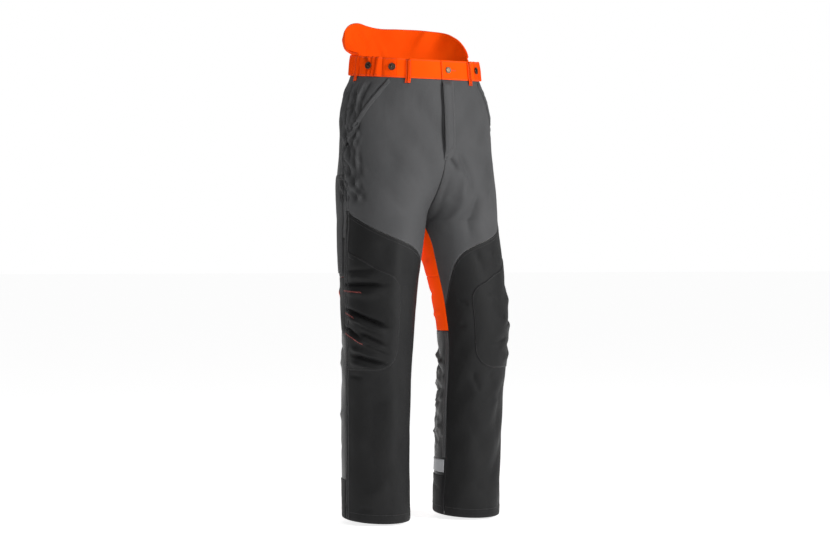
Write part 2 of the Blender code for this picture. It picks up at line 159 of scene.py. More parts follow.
# Each fold: turn and height where it starts, where it ends, its half-width and its height (minus is a crease).
clothFolds = {
    "both": (
        # calf, below the stretch panel's top seam
        (1.06, -0.69, 1.45, -0.665, 0.0075, -0.0030), (1.45, -0.665, 1.90, -0.70, 0.0080, -0.0034),
        (1.10, -0.72, 1.60, -0.735, 0.0090, 0.0030), (1.62, -0.690, 1.99, -0.735, 0.0050, 0.0040),
        (1.60, -0.705, 1.99, -0.757, 0.0040, -0.0052), (1.15, -0.765, 1.62, -0.745, 0.0070, -0.0030),
        (1.60, -0.790, 1.99, -0.752, 0.0050, 0.0040), (1.66, -0.800, 1.99, -0.780, 0.0036, -0.0050),
        (1.20, -0.80, 1.75, -0.815, 0.0080, -0.0028), (1.62, -0.840, 1.99, -0.800, 0.0050, 0.0038),
        (1.65, -0.828, 1.99, -0.812, 0.0036, -0.0040), (1.05, -0.835, 1.45, -0.86, 0.0090, 0.0025),
        (1.40, -0.875, 1.95, -0.845, 0.0070, -0.0034), (1.70, -0.90, 1.99, -0.865, 0.0050, 0.0034),
        (1.75, -0.935, 1.99, -0.89, 0.0045, -0.0036), (1.10, -0.92, 1.55, -0.905, 0.0090, -0.0022),
        (1.35, -0.94, 1.85, -0.93, 0.010, 0.0022), (1.72, -1.01, 1.97, -1.03, 0.006, -0.0018),
        # shallow drape on the front of the shin
        (0.80, -0.76, 0.52, -0.83, 0.020, -0.0030), (0.62, -0.80, 0.40, -0.90, 0.022, 0.0026),
        (0.82, -0.90, 0.55, -1.00, 0.022, -0.0030), (0.30, -0.86, 0.55, -0.97, 0.020, -0.0022),
        (0.55, -0.99, 0.80, -1.045, 0.018, 0.0026), (0.35, -1.00, 0.62, -1.05, 0.014, -0.0020),
        (0.70, -1.055, 0.86, -1.055, 0.005, -0.0020), (0.50, -1.064, 0.58, -1.064, 0.005, -0.0018),
        # seat and back of the thigh
        (1.96, -0.30, 1.45, -0.36, 0.012, -0.0045), (1.97, -0.335, 1.55, -0.41, 0.013, 0.0040),
        (1.95, -0.37, 1.50, -0.46, 0.010, -0.0038), (1.20, -0.40, 1.70, -0.47, 0.014, 0.0030),
        (1.15, -0.47, 1.75, -0.52, 0.012, -0.0032), (1.10, -0.55, 1.60, -0.57, 0.010, 0.0030),
        (1.55, -0.58, 1.98, -0.545, 0.007, -0.0040), (1.15, -0.61, 1.75, -0.625, 0.009, -0.0035),
        (1.72, -0.50, 1.99, -0.47, 0.006, -0.0026), (1.70, -0.615, 1.99, -0.60, 0.006, 0.0026),
        (1.80, -0.10, 1.70, -0.24, 0.020, 0.0020), (1.30, -0.10, 1.22, -0.30, 0.018, -0.0022),
        # side of the hip behind the pocket edge
        (0.72, -0.056, 0.80, -0.112, 0.0040, -0.0057), (0.80, -0.054, 0.86, -0.140, 0.0042, 0.0062),
        (0.88, -0.054, 0.93, -0.165, 0.0036, -0.0070), (0.95, -0.054, 0.99, -0.190, 0.0044, 0.0068),
        (1.01, -0.054, 1.02, -0.215, 0.0038, -0.0068), (1.08, -0.055, 1.04, -0.250, 0.0050, 0.0059),
        (1.14, -0.055, 1.10, -0.230, 0.0040, -0.0059), (1.22, -0.055, 1.16, -0.200, 0.0060, 0.0043),
        (0.98, -0.170, 0.88, -0.205, 0.0032, 0.0049), (0.99, -0.195, 0.90, -0.240, 0.0032, -0.0054),
        (1.00, -0.215, 0.90, -0.270, 0.0040, 0.0049), (1.02, -0.250, 0.92, -0.290, 0.0036, -0.0049),
        (1.02, -0.275, 0.93, -0.325, 0.0045, 0.0038), (1.28, -0.055, 1.22, -0.130, 0.0055, -0.0041),
        (1.00, -0.130, 0.92, -0.110, 0.0030, -0.0041), (0.99, -0.310, 0.94, -0.345, 0.0036, -0.0032),
        # shade under the mouth of the slanted pocket
        (0.525, -0.044, 0.660, -0.094, 0.0028, -0.0046), (0.635, -0.084, 0.785, -0.137, 0.0028, -0.0052),
        (0.745, -0.123, 0.890, -0.168, 0.0028, -0.0052), (0.850, -0.155, 0.985, -0.200, 0.0028, -0.0046),
        # edge of the fly, where the left front laps over
        (0.016, -0.036, 0.016, -0.262, 0.0030, -0.0030),
    ),
    "right": (
        # knee pleats, pinned at the outseam and fading towards the inner edge of the patch
        (0.985, -0.505, 0.66, -0.502, 0.0050, -0.0039), (0.985, -0.520, 0.62, -0.520, 0.0090, 0.0046),
        (1.02, -0.5365, 0.575, -0.5385, 0.0034, -0.0106), (0.985, -0.556, 0.60, -0.558, 0.0110, 0.0064),
        (1.02, -0.588, 0.545, -0.641, 0.0036, -0.0144), (0.985, -0.608, 0.56, -0.662, 0.0085, 0.0078),
        (1.02, -0.632, 0.80, -0.664, 0.0034, -0.0092), (0.93, -0.618, 0.60, -0.660, 0.0045, -0.0057),
        (0.86, -0.644, 0.565, -0.682, 0.0034, -0.0080), (0.90, -0.660, 0.56, -0.698, 0.0055, 0.0060),
        (0.82, -0.668, 0.55, -0.703, 0.0032, -0.0074), (0.95, -0.682, 0.60, -0.712, 0.0060, 0.0053),
        (0.94, -0.697, 0.53, -0.726, 0.0034, -0.0098), (0.96, -0.716, 0.58, -0.738, 0.0070, 0.0041),
        (0.95, -0.748, 0.78, -0.752, 0.0040, -0.0034),
        # broad folds down the leg, with a soft ridge at the front
        (0.56, -0.40, 0.55, -0.70, 0.020, 0.0034), (0.56, -0.66, 0.50, -1.06, 0.026, 0.0042),
        (0.72, -0.74, 0.68, -1.05, 0.026, -0.0036), (0.22, -0.235, 0.62, -0.215, 0.020, 0.0018),
        (0.10, -0.300, 0.42, -0.340, 0.016, 0.0020), (0.80, -0.12, 0.66, -0.34, 0.030, -0.0034),
        (0.70, -0.43, 0.60, -0.50, 0.016, -0.0030), (0.90, -0.375, 0.99, -0.372, 0.004, -0.0020),
    ),
    "left": (
        # folds from the foot of the fly towards the inner thigh
        (0.035, -0.236, 0.16, -0.272, 0.0045, -0.0052), (0.12, -0.215, 0.36, -0.345, 0.0110, -0.0085),
        (0.20, -0.260, 0.30, -0.420, 0.0130, 0.0052), (0.05, -0.270, 0.10, -0.430, 0.0120, -0.0030),
        (0.37, -0.310, 0.42, -0.445, 0.0110, -0.0062), (0.48, -0.300, 0.52, -0.430, 0.0160, 0.0034),
        (0.10, -0.330, 0.30, -0.350, 0.008, -0.0020),
        # knee, softer than the right one
        (0.985, -0.530, 0.72, -0.540, 0.0060, -0.0036), (0.985, -0.565, 0.66, -0.580, 0.0120, 0.0034),
        (0.985, -0.604, 0.62, -0.640, 0.0060, -0.0046), (0.90, -0.640, 0.52, -0.620, 0.0130, 0.0038),
        (0.985, -0.672, 0.70, -0.690, 0.0060, -0.0040), (0.70, -0.660, 0.44, -0.690, 0.0100, -0.0030),
        (0.46, -0.560, 0.60, -0.575, 0.0070, -0.0026), (0.90, -0.700, 0.60, -0.720, 0.0100, 0.0030),
        (0.16, -0.575, 0.30, -0.585, 0.0045, -0.0026), (0.10, -0.640, 0.26, -0.632, 0.0060, -0.0020),
        (0.42, -0.450, 0.50, -0.530, 0.0100, -0.0034), (0.56, -0.455, 0.62, -0.520, 0.0120, 0.0030),
        (0.30, -0.74, 0.42, -0.80, 0.0100, -0.0042), (0.48, -0.74, 0.58, -0.79, 0.0110, -0.0034),
        (0.38, -0.74, 0.36, -1.05, 0.026, 0.0034), (0.66, -0.76, 0.62, -1.05, 0.024, -0.0030),
    ),
}
rippleWaves = np.random.default_rng(11).uniform(-1, 1, (18, 4))


crumpleShape = {"height": 0.0042, "hipTurns": (0.72, 1.14), "hipHeights": (-0.36, -0.055), "calfTurns": (1.50, 2.0),
    "calfHeights": (-0.96, -0.655),
                "share": {"right": 1.0, "left": 0.6}}
crumpleWaves = np.random.default_rng(29).uniform(-1, 1, (7, 3))


def windowed(value, low, high, fade):
    return smooth((value - low) / fade) * smooth((high - value) / fade)


def crumple(turn, z):
    # Ridged waves, 1 - |sin|, in seven directions: sharp little pleats where the cloth is loose.
    x = turn * bodyShape["girthPerTurn"]
    loose = windowed(turn, *crumpleShape["hipTurns"], 0.10) * windowed(z, *crumpleShape["hipHeights"], 0.04)
    loose = loose + 0.8 * windowed(turn, *crumpleShape["calfTurns"], 0.20) * windowed(z, *crumpleShape["calfHeights"],
        0.05)
    total = 0.0
    for waveX, waveZ, phase in crumpleWaves:
        total = total + 1 - 2 * np.abs(np.sin(150 * waveX * x + 60 * waveZ * z + 4 * phase + 1.2
            * np.sin(45 * z + 9 * phase)))
    return crumpleShape["height"] * (loose + 0.035) * total / 3.2


def foldField(side, turn, z, widest=1.0):
    # Each fold is a ridge with a bell-shaped section, or a crease with a sharper one, fading out at its two ends.
    turn, z = np.broadcast_arrays(np.asarray(turn, float), np.asarray(z, float))
    girth = bodyShape["girthPerTurn"]
    total = np.zeros(turn.shape)
    for startTurn, startZ, endTurn, endZ, width, height in clothFolds["both"] + clothFolds[side]:
        if width > widest:
            continue
        alongX, alongZ = (endTurn - startTurn) * girth, endZ - startZ
        length = math.hypot(alongX, alongZ)
        x, y = (turn - startTurn) * girth, z - startZ
        along = (x * alongX + y * alongZ) / length**2
        across = (y * alongX - x * alongZ) / length - 0.10 * width * np.sin(14 * along)
        fade = smooth(along * 4.0) * smooth((1 - along) * 2.6)
        power = 2.0 if height > 0 else 1.35
        total += height * fade * np.exp(-(np.abs(across / (width * (0.75 + 0.5 * np.clip(along, 0, 1)))) ** power))
    ripple = np.zeros(turn.shape)
    for waveX, waveZ, phase, strength in rippleWaves:
        ripple += strength * np.sin(95 * waveX * (turn * girth + sideSign[side] * 0.4) + 70 * waveZ * z + 3.1 * phase)
    return total + crumpleShape["share"][side] * crumple(turn, z) + 0.00033 * ripple


def clothPoint(side, turn, z, out=0.0):
    # The body surface pushed outwards by the folds. Nested layers share the folds, so they stay apart.
    turn, z = np.broadcast_arrays(np.asarray(turn, float), np.asarray(z, float))
    calm = smooth((-0.050 - z) / 0.02) * smooth((z - bodyShape["hem"]) / 0.03 + 0.35)
    forward = bodyShape["inseamForward"][side] * smooth((-0.335 - z) / 0.12) * (smooth(1 - turn / 0.4)
        + smooth((turn - 1.5) / 0.5))
    return bodyPoint(side, turn + forward, z, out + foldField(side, turn, z) * calm)


def surfaceFrame(place, first, second, out=0.0, step=0.0006):
    # The point, and the unit cross product of the two surface directions turned to face outwards.
    point = place(first, second, out)
    across = place(first + step, second, out) - place(first - step, second, out)
    up = place(first, second + step, out) - place(first, second - step, out)
    normal = np.cross(across, up)
    normal /= np.maximum(np.linalg.norm(normal, axis=-1, keepdims=True), 1e-12)
    proud = place(first, second, out + 0.002) - point
    return point, normal * np.sign((normal * proud).sum(axis=-1, keepdims=True))


def spaced(length, cell, lip=(0.0, 0.0009, 0.0022, 0.0042)):
    # Positions from 0 to 1, close together at both ends so that an edge can roll over.
    lip = np.array(lip) / length
    inner = np.linspace(0.0080 / length, 1 - 0.0080 / length, max(2, round((length - 0.016) / cell)))
    return np.concatenate([lip, inner, 1 - lip[::-1]])


def linked(name, data):
    made = bpy.data.objects.new(name, data)
    bpy.context.scene.collection.objects.link(made)
    return made


def solidObject(name, verts, faces, material):
    # A small turned or moulded part from its points and faces, with its faces outwards.
    mesh = bpy.data.meshes.new(name)
    mesh.from_pydata(verts, [], faces)
    mesh.uv_layers.new(name="UVMap")
    mesh.materials.append(material)
    made = linked(name, mesh)
    work = bmesh.new()
    work.from_mesh(mesh)
    bmesh.ops.recalc_face_normals(work, faces=work.faces)
    work.to_mesh(mesh)
    work.free()
    return made


def gridObject(name, points, uvs, flip=False, material=None):
    rows, cols = points.shape[:2]
    index = np.arange(rows * cols).reshape(rows, cols)
    quads = np.stack([index[:-1, :-1], index[1:, :-1], index[1:, 1:], index[:-1, 1:]], axis=-1).reshape(-1, 4)
    if flip:
        quads = quads[:, ::-1]
    mesh = bpy.data.meshes.new(name)
    mesh.vertices.add(rows * cols)
    mesh.vertices.foreach_set("co", points.reshape(-1).astype(np.float32))
    mesh.loops.add(quads.size)
    mesh.loops.foreach_set("vertex_index", quads.reshape(-1).astype(np.int32))
    mesh.polygons.add(len(quads))
    mesh.polygons.foreach_set("loop_start", np.arange(0, quads.size, 4, dtype=np.int32))
    mesh.update(calc_edges=True)
    mesh.uv_layers.new(name="UVMap").data.foreach_set("uv", uvs.reshape(-1,
        2)[quads.reshape(-1)].reshape(-1).astype(np.float32))
    mesh.shade_smooth()
    if material:
        mesh.materials.append(material)
    return linked(name, mesh)


def thicken(obj, thickness, offset=-1):
    cloth = obj.modifiers.new("cloth", "SOLIDIFY")
    cloth.thickness = thickness
    cloth.offset = offset
    cloth.use_rim = True


def edgeRoll(share, length, depth=0.0009):
    distance = np.minimum(share, 1 - share) * length
    return -depth * np.exp(-((distance / 0.0016) ** 2))


def paint(obj, name, values):
    # One value at each point, which the materials read.
    obj.data.attributes.new(name, "FLOAT", "POINT").data.foreach_set("value", values.reshape(-1).astype(np.float32))


def paintSeam(obj, distance, reach=0.003):
    # exp(-(distance / reach)^2): one at the edge, fading inwards.
    paint(obj, "seam", np.exp(-((distance / reach) ** 2)))


print("shape functions ready")

clothLooks = {
    # colour, second colour, roughness, sheen, threads per metre, weave height, bump distance, fleck
    "greyTwill": ((0.060, 0.061, 0.063), (0.078, 0.078, 0.080), 0.56, 0.02, 1300, 0.55, 0.00016, 0.16),
    "blackTwill": ((0.0100, 0.0101, 0.0104), (0.0170, 0.0170, 0.0174), 0.55, 0.02, 1200, 0.55, 0.00018, 0.18),
    "kneeWeave": ((0.0092, 0.0093, 0.0096), (0.0155, 0.0155, 0.0158), 0.50, 0.02, 900, 0.65, 0.00024, 0.20),
    "orangeTwill": ((0.93, 0.079, 0.0008), (0.86, 0.062, 0.0007), 0.78, 0.0, 1300, 0.50, 0.00014, 0.08),
    "orangeElastic": ((0.88, 0.068, 0.0008), (0.78, 0.052, 0.0007), 0.80, 0.0, 800, 0.60, 0.00022, 0.10),
    "calfStretch": ((0.012, 0.012, 0.0125), (0.020, 0.020, 0.021), 0.36, 0.03, 1500, 0.40, 0.00012, 0.22),
    "stripTwill": ((0.026, 0.026, 0.027), (0.040, 0.040, 0.041), 0.55, 0.03, 1200, 0.55, 0.00018, 0.18),
    "pocketTwill": ((0.032, 0.032, 0.033), (0.048, 0.048, 0.050), 0.60, 0.03, 1200, 0.55, 0.00018, 0.18),
    "heelCanvas": ((0.009, 0.009, 0.0095), (0.015, 0.015, 0.0155), 0.55, 0.02, 700, 0.75, 0.00028, 0.16),
    "liningSatin": ((0.060, 0.060, 0.064), (0.080, 0.080, 0.084), 0.48, 0.10, 1800, 0.35, 0.00008, 0.12),
    "padKnit": ((0.70, 0.68, 0.62), (0.60, 0.58, 0.52), 0.90, 0.20, 280, 0.90, 0.00060, 0.20),
    "silverTape": ((0.40, 0.41, 0.43), (0.52, 0.53, 0.55), 0.34, 0.0, 420, 0.60, 0.00010, 0.08),
    "pipingLight": ((0.060, 0.060, 0.062), (0.095, 0.095, 0.098), 0.50, 0.05, 1600, 0.40, 0.00008, 0.10),
    "zipTape": ((0.014, 0.020, 0.021), (0.030, 0.030, 0.031), 0.65, 0.05, 900, 0.60, 0.00015, 0.12),
}


def newGroup(name, inputs, outputs):
    tree = bpy.data.node_groups.new(name, "ShaderNodeTree")
    for label, kind, value in inputs:
        socket = tree.interface.new_socket(name=label, in_out="INPUT", socket_type=kind)
        if value is not None:
            socket.default_value = value
    for label, kind in outputs:
        tree.interface.new_socket(name=label, in_out="OUTPUT", socket_type=kind)
    return tree, tree.nodes.new("NodeGroupInput"), tree.nodes.new("NodeGroupOutput")


def feed(tree, socket, value):
    if isinstance(value, bpy.types.NodeSocket):
        tree.links.new(value, socket)
    elif value is not None:
        socket.default_value = value


def maths(tree, operation, *values):
    node = tree.nodes.new("ShaderNodeMath")
    node.operation = operation
    for socket, value in zip(node.inputs, values):
        feed(tree, socket, value)
    return node.outputs[0]


def mixColour(tree, share, first, second, blend="MIX"):
    node = tree.nodes.new("ShaderNodeMix")
    node.data_type = "RGBA"
    node.blend_type = blend
    feed(tree, node.inputs[0], share)
    feed(tree, node.inputs[6], first)
    feed(tree, node.inputs[7], second)
    return node.outputs[2]


def noise(tree, vector, scale, detail=2.0, roughness=0.5):
    node = tree.nodes.new("ShaderNodeTexNoise")
    feed(tree, node.inputs["Vector"], vector)
    feed(tree, node.inputs["Scale"], scale)
    node.inputs["Detail"].default_value = detail
    node.inputs["Roughness"].default_value = roughness
    return node.outputs["Fac"]


def makeWeaveGroup():
    # Twill: ribs run up the diagonal, sin(u + v), each rib broken by the threads that cross it, |sin(v)|.
    tree, entry, leave = newGroup(
        "weave",
        (("Vector", "NodeSocketVector", None), ("Threads", "NodeSocketFloat", 1200.0),
        ("Depth", "NodeSocketFloat", 0.5)),
        (("Height", "NodeSocketFloat"), ("Shade", "NodeSocketFloat")),
    )
    split = tree.nodes.new("ShaderNodeSeparateXYZ")
    tree.links.new(entry.outputs["Vector"], split.inputs[0])
    pace = maths(tree, "MULTIPLY", entry.outputs["Threads"], math.pi)
    u = maths(tree, "MULTIPLY", split.outputs[0], pace)
    v = maths(tree, "MULTIPLY", split.outputs[1], pace)
    rib = maths(tree, "MULTIPLY_ADD", maths(tree, "SINE", maths(tree, "ADD", u, v)), 0.5, 0.5)
    cross = maths(tree, "ABSOLUTE", maths(tree, "SINE", maths(tree, "SUBTRACT", v, maths(tree, "MULTIPLY", u, 0.5))))
    height = maths(tree, "MULTIPLY", rib, maths(tree, "MULTIPLY_ADD", cross, 0.5, 0.5))
    tree.links.new(maths(tree, "MULTIPLY", height, entry.outputs["Depth"]), leave.inputs["Height"])
    tree.links.new(height, leave.inputs["Shade"])
    return tree


def makeToneGroup():
    # Slow mottling from two scales of noise, plus a fine fleck of lighter fibres.
    tree, entry, leave = newGroup(
        "clothTone",
        (("Vector", "NodeSocketVector", None), ("Fleck", "NodeSocketFloat", 0.15)),
        (("Mottle", "NodeSocketFloat"), ("Roughness", "NodeSocketFloat"), ("Crumple", "NodeSocketFloat")),
    )
    slow = noise(tree, entry.outputs["Vector"], 14.0, 3.0)
    fine = noise(tree, entry.outputs["Vector"], 900.0, 2.0)
    crumple = noise(tree, entry.outputs["Vector"], 75.0, 3.0, 0.55)
    fleck = maths(tree, "MULTIPLY", maths(tree, "SUBTRACT", fine, 0.5), entry.outputs["Fleck"])
    mottle = maths(tree, "ADD", maths(tree, "MULTIPLY_ADD", slow, 1.3, -0.15), maths(tree, "MULTIPLY", fleck, 4.0))
    tree.links.new(mottle, leave.inputs["Mottle"])
    tree.links.new(maths(tree, "MULTIPLY_ADD", slow, 0.16, -0.08), leave.inputs["Roughness"])
    tree.links.new(crumple, leave.inputs["Crumple"])
    return tree


def makeRubAndShadeGroup():
    # Cloth rubbed pale where it folds over a seam: the seam attribute, broken up by noise. Painted shade: the crease
    # attribute darkens the hollows of the cloth.
    tree, entry, leave = newGroup(
        "seamWear",
        (("Vector", "NodeSocketVector", None), ("Seam", "NodeSocketFloat", 0.0), ("Hollow", "NodeSocketFloat", 0.0),
        ("Amount", "NodeSocketFloat", 0.3)),
        (("Mask", "NodeSocketFloat"), ("Shade", "NodeSocketFloat")),
    )
    patchy = maths(tree, "MULTIPLY_ADD", noise(tree, entry.outputs["Vector"], 160.0, 3.0), 1.6, -0.35)
    mask = maths(tree, "MULTIPLY", maths(tree, "MULTIPLY", entry.outputs["Seam"], entry.outputs["Amount"]), patchy)
    clamp = tree.nodes.new("ShaderNodeClamp")
    tree.links.new(mask, clamp.inputs[0])
    tree.links.new(clamp.outputs[0], leave.inputs["Mask"])
    # painted shade: the crease amount, scaled, darkens the colour
    tree.links.new(maths(tree, "MULTIPLY", entry.outputs["Hollow"], 0.62), leave.inputs["Shade"])
    return tree


weaveGroup, toneGroup, rubAndShadeGroup = makeWeaveGroup(), makeToneGroup(), makeRubAndShadeGroup()


def place(tree, group, **values):
    node = tree.nodes.new("ShaderNodeGroup")
    node.node_tree = group
    for label, value in values.items():
        feed(tree, node.inputs[label], value)
    return node


def newMaterial(name):
    made = bpy.data.materials.new(name)
    made.use_nodes = True
    return made, made.node_tree, made.node_tree.nodes["Principled BSDF"]


def roughen(tree, shader, height, distance):
    bump = tree.nodes.new("ShaderNodeBump")
    bump.inputs["Strength"].default_value = 1.0
    bump.inputs["Distance"].default_value = distance
    tree.links.new(height, bump.inputs["Height"])
    tree.links.new(bump.outputs[0], shader.inputs["Normal"])


def clothMaterial(name):
    colour, second, roughness, sheen, threads, depth, distance, fleck = clothLooks[name]
    made, tree, shader = newMaterial(name)
    coords = tree.nodes.new("ShaderNodeTexCoord")
    seam = tree.nodes.new("ShaderNodeAttribute")
    seam.attribute_name = "seam"
    # painted shade in the creases, read from the mesh
    hollow = tree.nodes.new("ShaderNodeAttribute")
    hollow.attribute_name = "hollow"
    tone = place(tree, toneGroup, Vector=coords.outputs["Object"], Fleck=fleck)
    weave = place(tree, weaveGroup, Vector=coords.outputs["UV"], Threads=float(threads), Depth=depth)
    rubAndShade = place(tree, rubAndShadeGroup, Vector=coords.outputs["Object"], Seam=seam.outputs["Fac"],
        Hollow=hollow.outputs["Fac"], Amount=0.35)
    base = mixColour(tree, tone.outputs["Mottle"], (*colour, 1), (*second, 1))
    shaded = mixColour(tree, maths(tree, "MULTIPLY_ADD", weave.outputs["Shade"], -0.25, 0.25), base,
        (*[c * 0.55 for c in colour], 1))
    worn = mixColour(tree, rubAndShade.outputs["Mask"], shaded, (*[min(1.0, c * 1.5 + 0.02) for c in second], 1))
    # painted shade: creases darkened towards a quarter of the colour
    creaseShaded = mixColour(tree, rubAndShade.outputs["Shade"], worn, (*[c * 0.25 for c in colour], 1))
    tree.links.new(creaseShaded, shader.inputs["Base Color"])
    tree.links.new(maths(tree, "ADD", tone.outputs["Roughness"], roughness), shader.inputs["Roughness"])
    crumple = maths(tree, "MULTIPLY_ADD", tone.outputs["Crumple"], 2.4, weave.outputs["Height"])
    roughen(tree, shader, crumple, distance)
    shader.inputs["Sheen Weight"].default_value = sheen
    shader.inputs["Sheen Roughness"].default_value = 0.5
    if name.startswith("orange"):
        # painted glow: the emission stands for the fluorescent dye and also lifts the orange where the lamps leave it
        # in shade; it is weaker on the elastic, so the side and back band read darker, as if shaded
        shader.inputs["Emission Color"].default_value = (1.0, 0.085, 0.001, 1)
        shader.inputs["Emission Strength"].default_value = 0.17 if name == "orangeTwill" else 0.06
    shader.inputs["Specular IOR Level"].default_value = 0.05 if name.startswith("orange") else 0.26 if name == "calfStretch" else 0.14
    return made


hardLooks = {
    # colour, worn colour, roughness, metallic
    "nickelSteel": ((0.56, 0.55, 0.53), (0.72, 0.71, 0.69), 0.30, 1.0),
    "bronzeDark": ((0.030, 0.020, 0.016), (0.16, 0.11, 0.085), 0.34, 1.0),
    "agedNickel": ((0.13, 0.088, 0.062), (0.26, 0.19, 0.14), 0.50, 1.0),
    "toothPlastic": ((0.014, 0.014, 0.015), (0.030, 0.030, 0.032), 0.42, 0.0),
}


def hardMaterial(name):
    # Metal or moulded plastic with fine brushing, and paler where noise says the plating is rubbed.
    colour, worn, roughness, metallic = hardLooks[name]
    made, tree, shader = newMaterial(name)
    coords = tree.nodes.new("ShaderNodeTexCoord").outputs["Object"]
    rub = maths(tree, "MULTIPLY_ADD", noise(tree, coords, 420.0, 4.0), 2.4, -0.9)
    clamp = tree.nodes.new("ShaderNodeClamp")
    tree.links.new(rub, clamp.inputs[0])
    tree.links.new(mixColour(tree, clamp.outputs[0], (*colour, 1), (*worn, 1)), shader.inputs["Base Color"])
    fine = noise(tree, coords, 2600.0, 2.0)
    tree.links.new(maths(tree, "MULTIPLY_ADD", fine, 0.20, roughness - 0.10), shader.inputs["Roughness"])
    roughen(tree, shader, fine, 0.00003)
    shader.inputs["Metallic"].default_value = metallic
    return made


def threadMaterial(name, colour):
    # Twisted thread: thin diagonal bands along each stitch, from a fine wave on the object's coordinates.
    made, tree, shader = newMaterial(name)
    coords = tree.nodes.new("ShaderNodeTexCoord").outputs["Object"]
    twist = noise(tree, coords, 3200.0, 1.0)
    tree.links.new(mixColour(tree, twist, (*colour, 1), (*[c * 0.6 for c in colour], 1)), shader.inputs["Base Color"])
    shader.inputs["Roughness"].default_value = 0.55
    shader.inputs["Sheen Weight"].default_value = 0.2
    return made


cloth = {name: clothMaterial(name) for name in clothLooks}
hard = {name: hardMaterial(name) for name in hardLooks}
thread = {
    "grey": threadMaterial("threadGrey", (0.10, 0.10, 0.102)),
    "black": threadMaterial("threadBlack", (0.030, 0.030, 0.031)),
    "orange": threadMaterial("threadOrange", (0.75, 0.05, 0.004)),
    "red": threadMaterial("threadRed", (0.62, 0.10, 0.085)),
    "silver": threadMaterial("threadSilver", (0.30, 0.30, 0.31)),
}
print("materials ready")

seamBetweenBends = -0.52


def follow(obj, way):
    if way == "hipBend":
        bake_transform(obj)
    elif way == "kneeBend":
        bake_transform(obj)
    else:
        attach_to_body(obj, way)
    return obj


def attach(obj, way, nodes=()):
    follow(obj, way)
    if nodes:
        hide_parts(*nodes)
    return obj


cellSize = 0.0036


def legPanel(name, side, look, turns, top, bottom, out=0.0, thickness=0.0011, way="kneeBend", nodes=(),
             puff=0.0, roll=0.0009, cell=None, layer=None):
    # A cut piece of cloth between two turns and two edge lines; the lines are numbers or functions of turn.
    first, last = turns
    girth = bodyShape["girthPerTurn"]
    width = (last - first) * girth
    cell = cell or cellSize
    across = spaced(width, cell)
    turn = first + (last - first) * across
    high = np.broadcast_to(top(turn) if callable(top) else top, turn.shape)
    low = np.broadcast_to(bottom(turn) if callable(bottom) else bottom, turn.shape)
    length = float((high - low).mean())
    down = spaced(length, cell)
    z = high[:, None] + (low - high)[:, None] * down
    rolled = edgeRoll(across, width, roll)[:, None] + edgeRoll(down, length, roll)[None, :]
    crown = puff * np.sin(np.pi * np.clip(across, 0, 1))[:, None] ** 0.5 * np.sin(np.pi * down)[None, :] ** 0.5
    depth = out if layer is None else layer(z)
    points = clothPoint(side, turn[:, None], z, depth + np.maximum(rolled, -roll) + crown)
    uvs = np.stack([np.broadcast_to(turn[:, None] * girth, z.shape), z], axis=-1)
    made = gridObject(name, points, uvs, side == "left", cloth[look])
    edge = np.minimum(np.minimum(across, 1 - across)[:, None] * width, np.minimum(down, 1 - down)[None, :] * length)
    paintSeam(made, edge)
    # painted shade: the narrow creases, the fly's free edge among them, darken the colour
    paintedShade = np.clip(-foldField(side, turn[:, None], z, 0.0062) / 0.0050, 0, 1)
    paint(made, "hollow", paintedShade)
    thicken(made, thickness)
    return attach(made, way, nodes)


stitchShape = {"pitch": 0.0036, "length": 0.0026, "radius": 0.00042, "sink": 0.00005}
stitchRows = {}


def sampleLine(place, first, second, out, pitch):
    # Points every pitch along a line drawn on a surface, with the surface's outward direction there.
    dense = np.linspace(0, 1, 900)
    a, b = (np.interp(dense, np.linspace(0, 1, len(along)), along) for along in (first, second))
    track = place(a, b, out)
    run = np.concatenate([[0], np.cumsum(np.linalg.norm(np.diff(track, axis=0), axis=1))])
    at = np.interp(np.arange(pitch / 2, run[-1], pitch), run, dense)
    a, b = np.interp(at, dense, a), np.interp(at, dense, b)
    points, normals = surfaceFrame(place, a, b, out)
    return points, normals


def stitch(place, first, second, out=0.0, tint="grey", way="hips", side="right", pitch=None):
    points, normals = sampleLine(place, np.asarray(first, float), np.asarray(second, float), out,
        pitch or stitchShape["pitch"])
    if len(points) > 2:
        stitchRows.setdefault((tint, way, side), []).append((points, normals))


def onLeg(side):
    return lambda turn, z, out=0.0: clothPoint(side, turn, z, out)


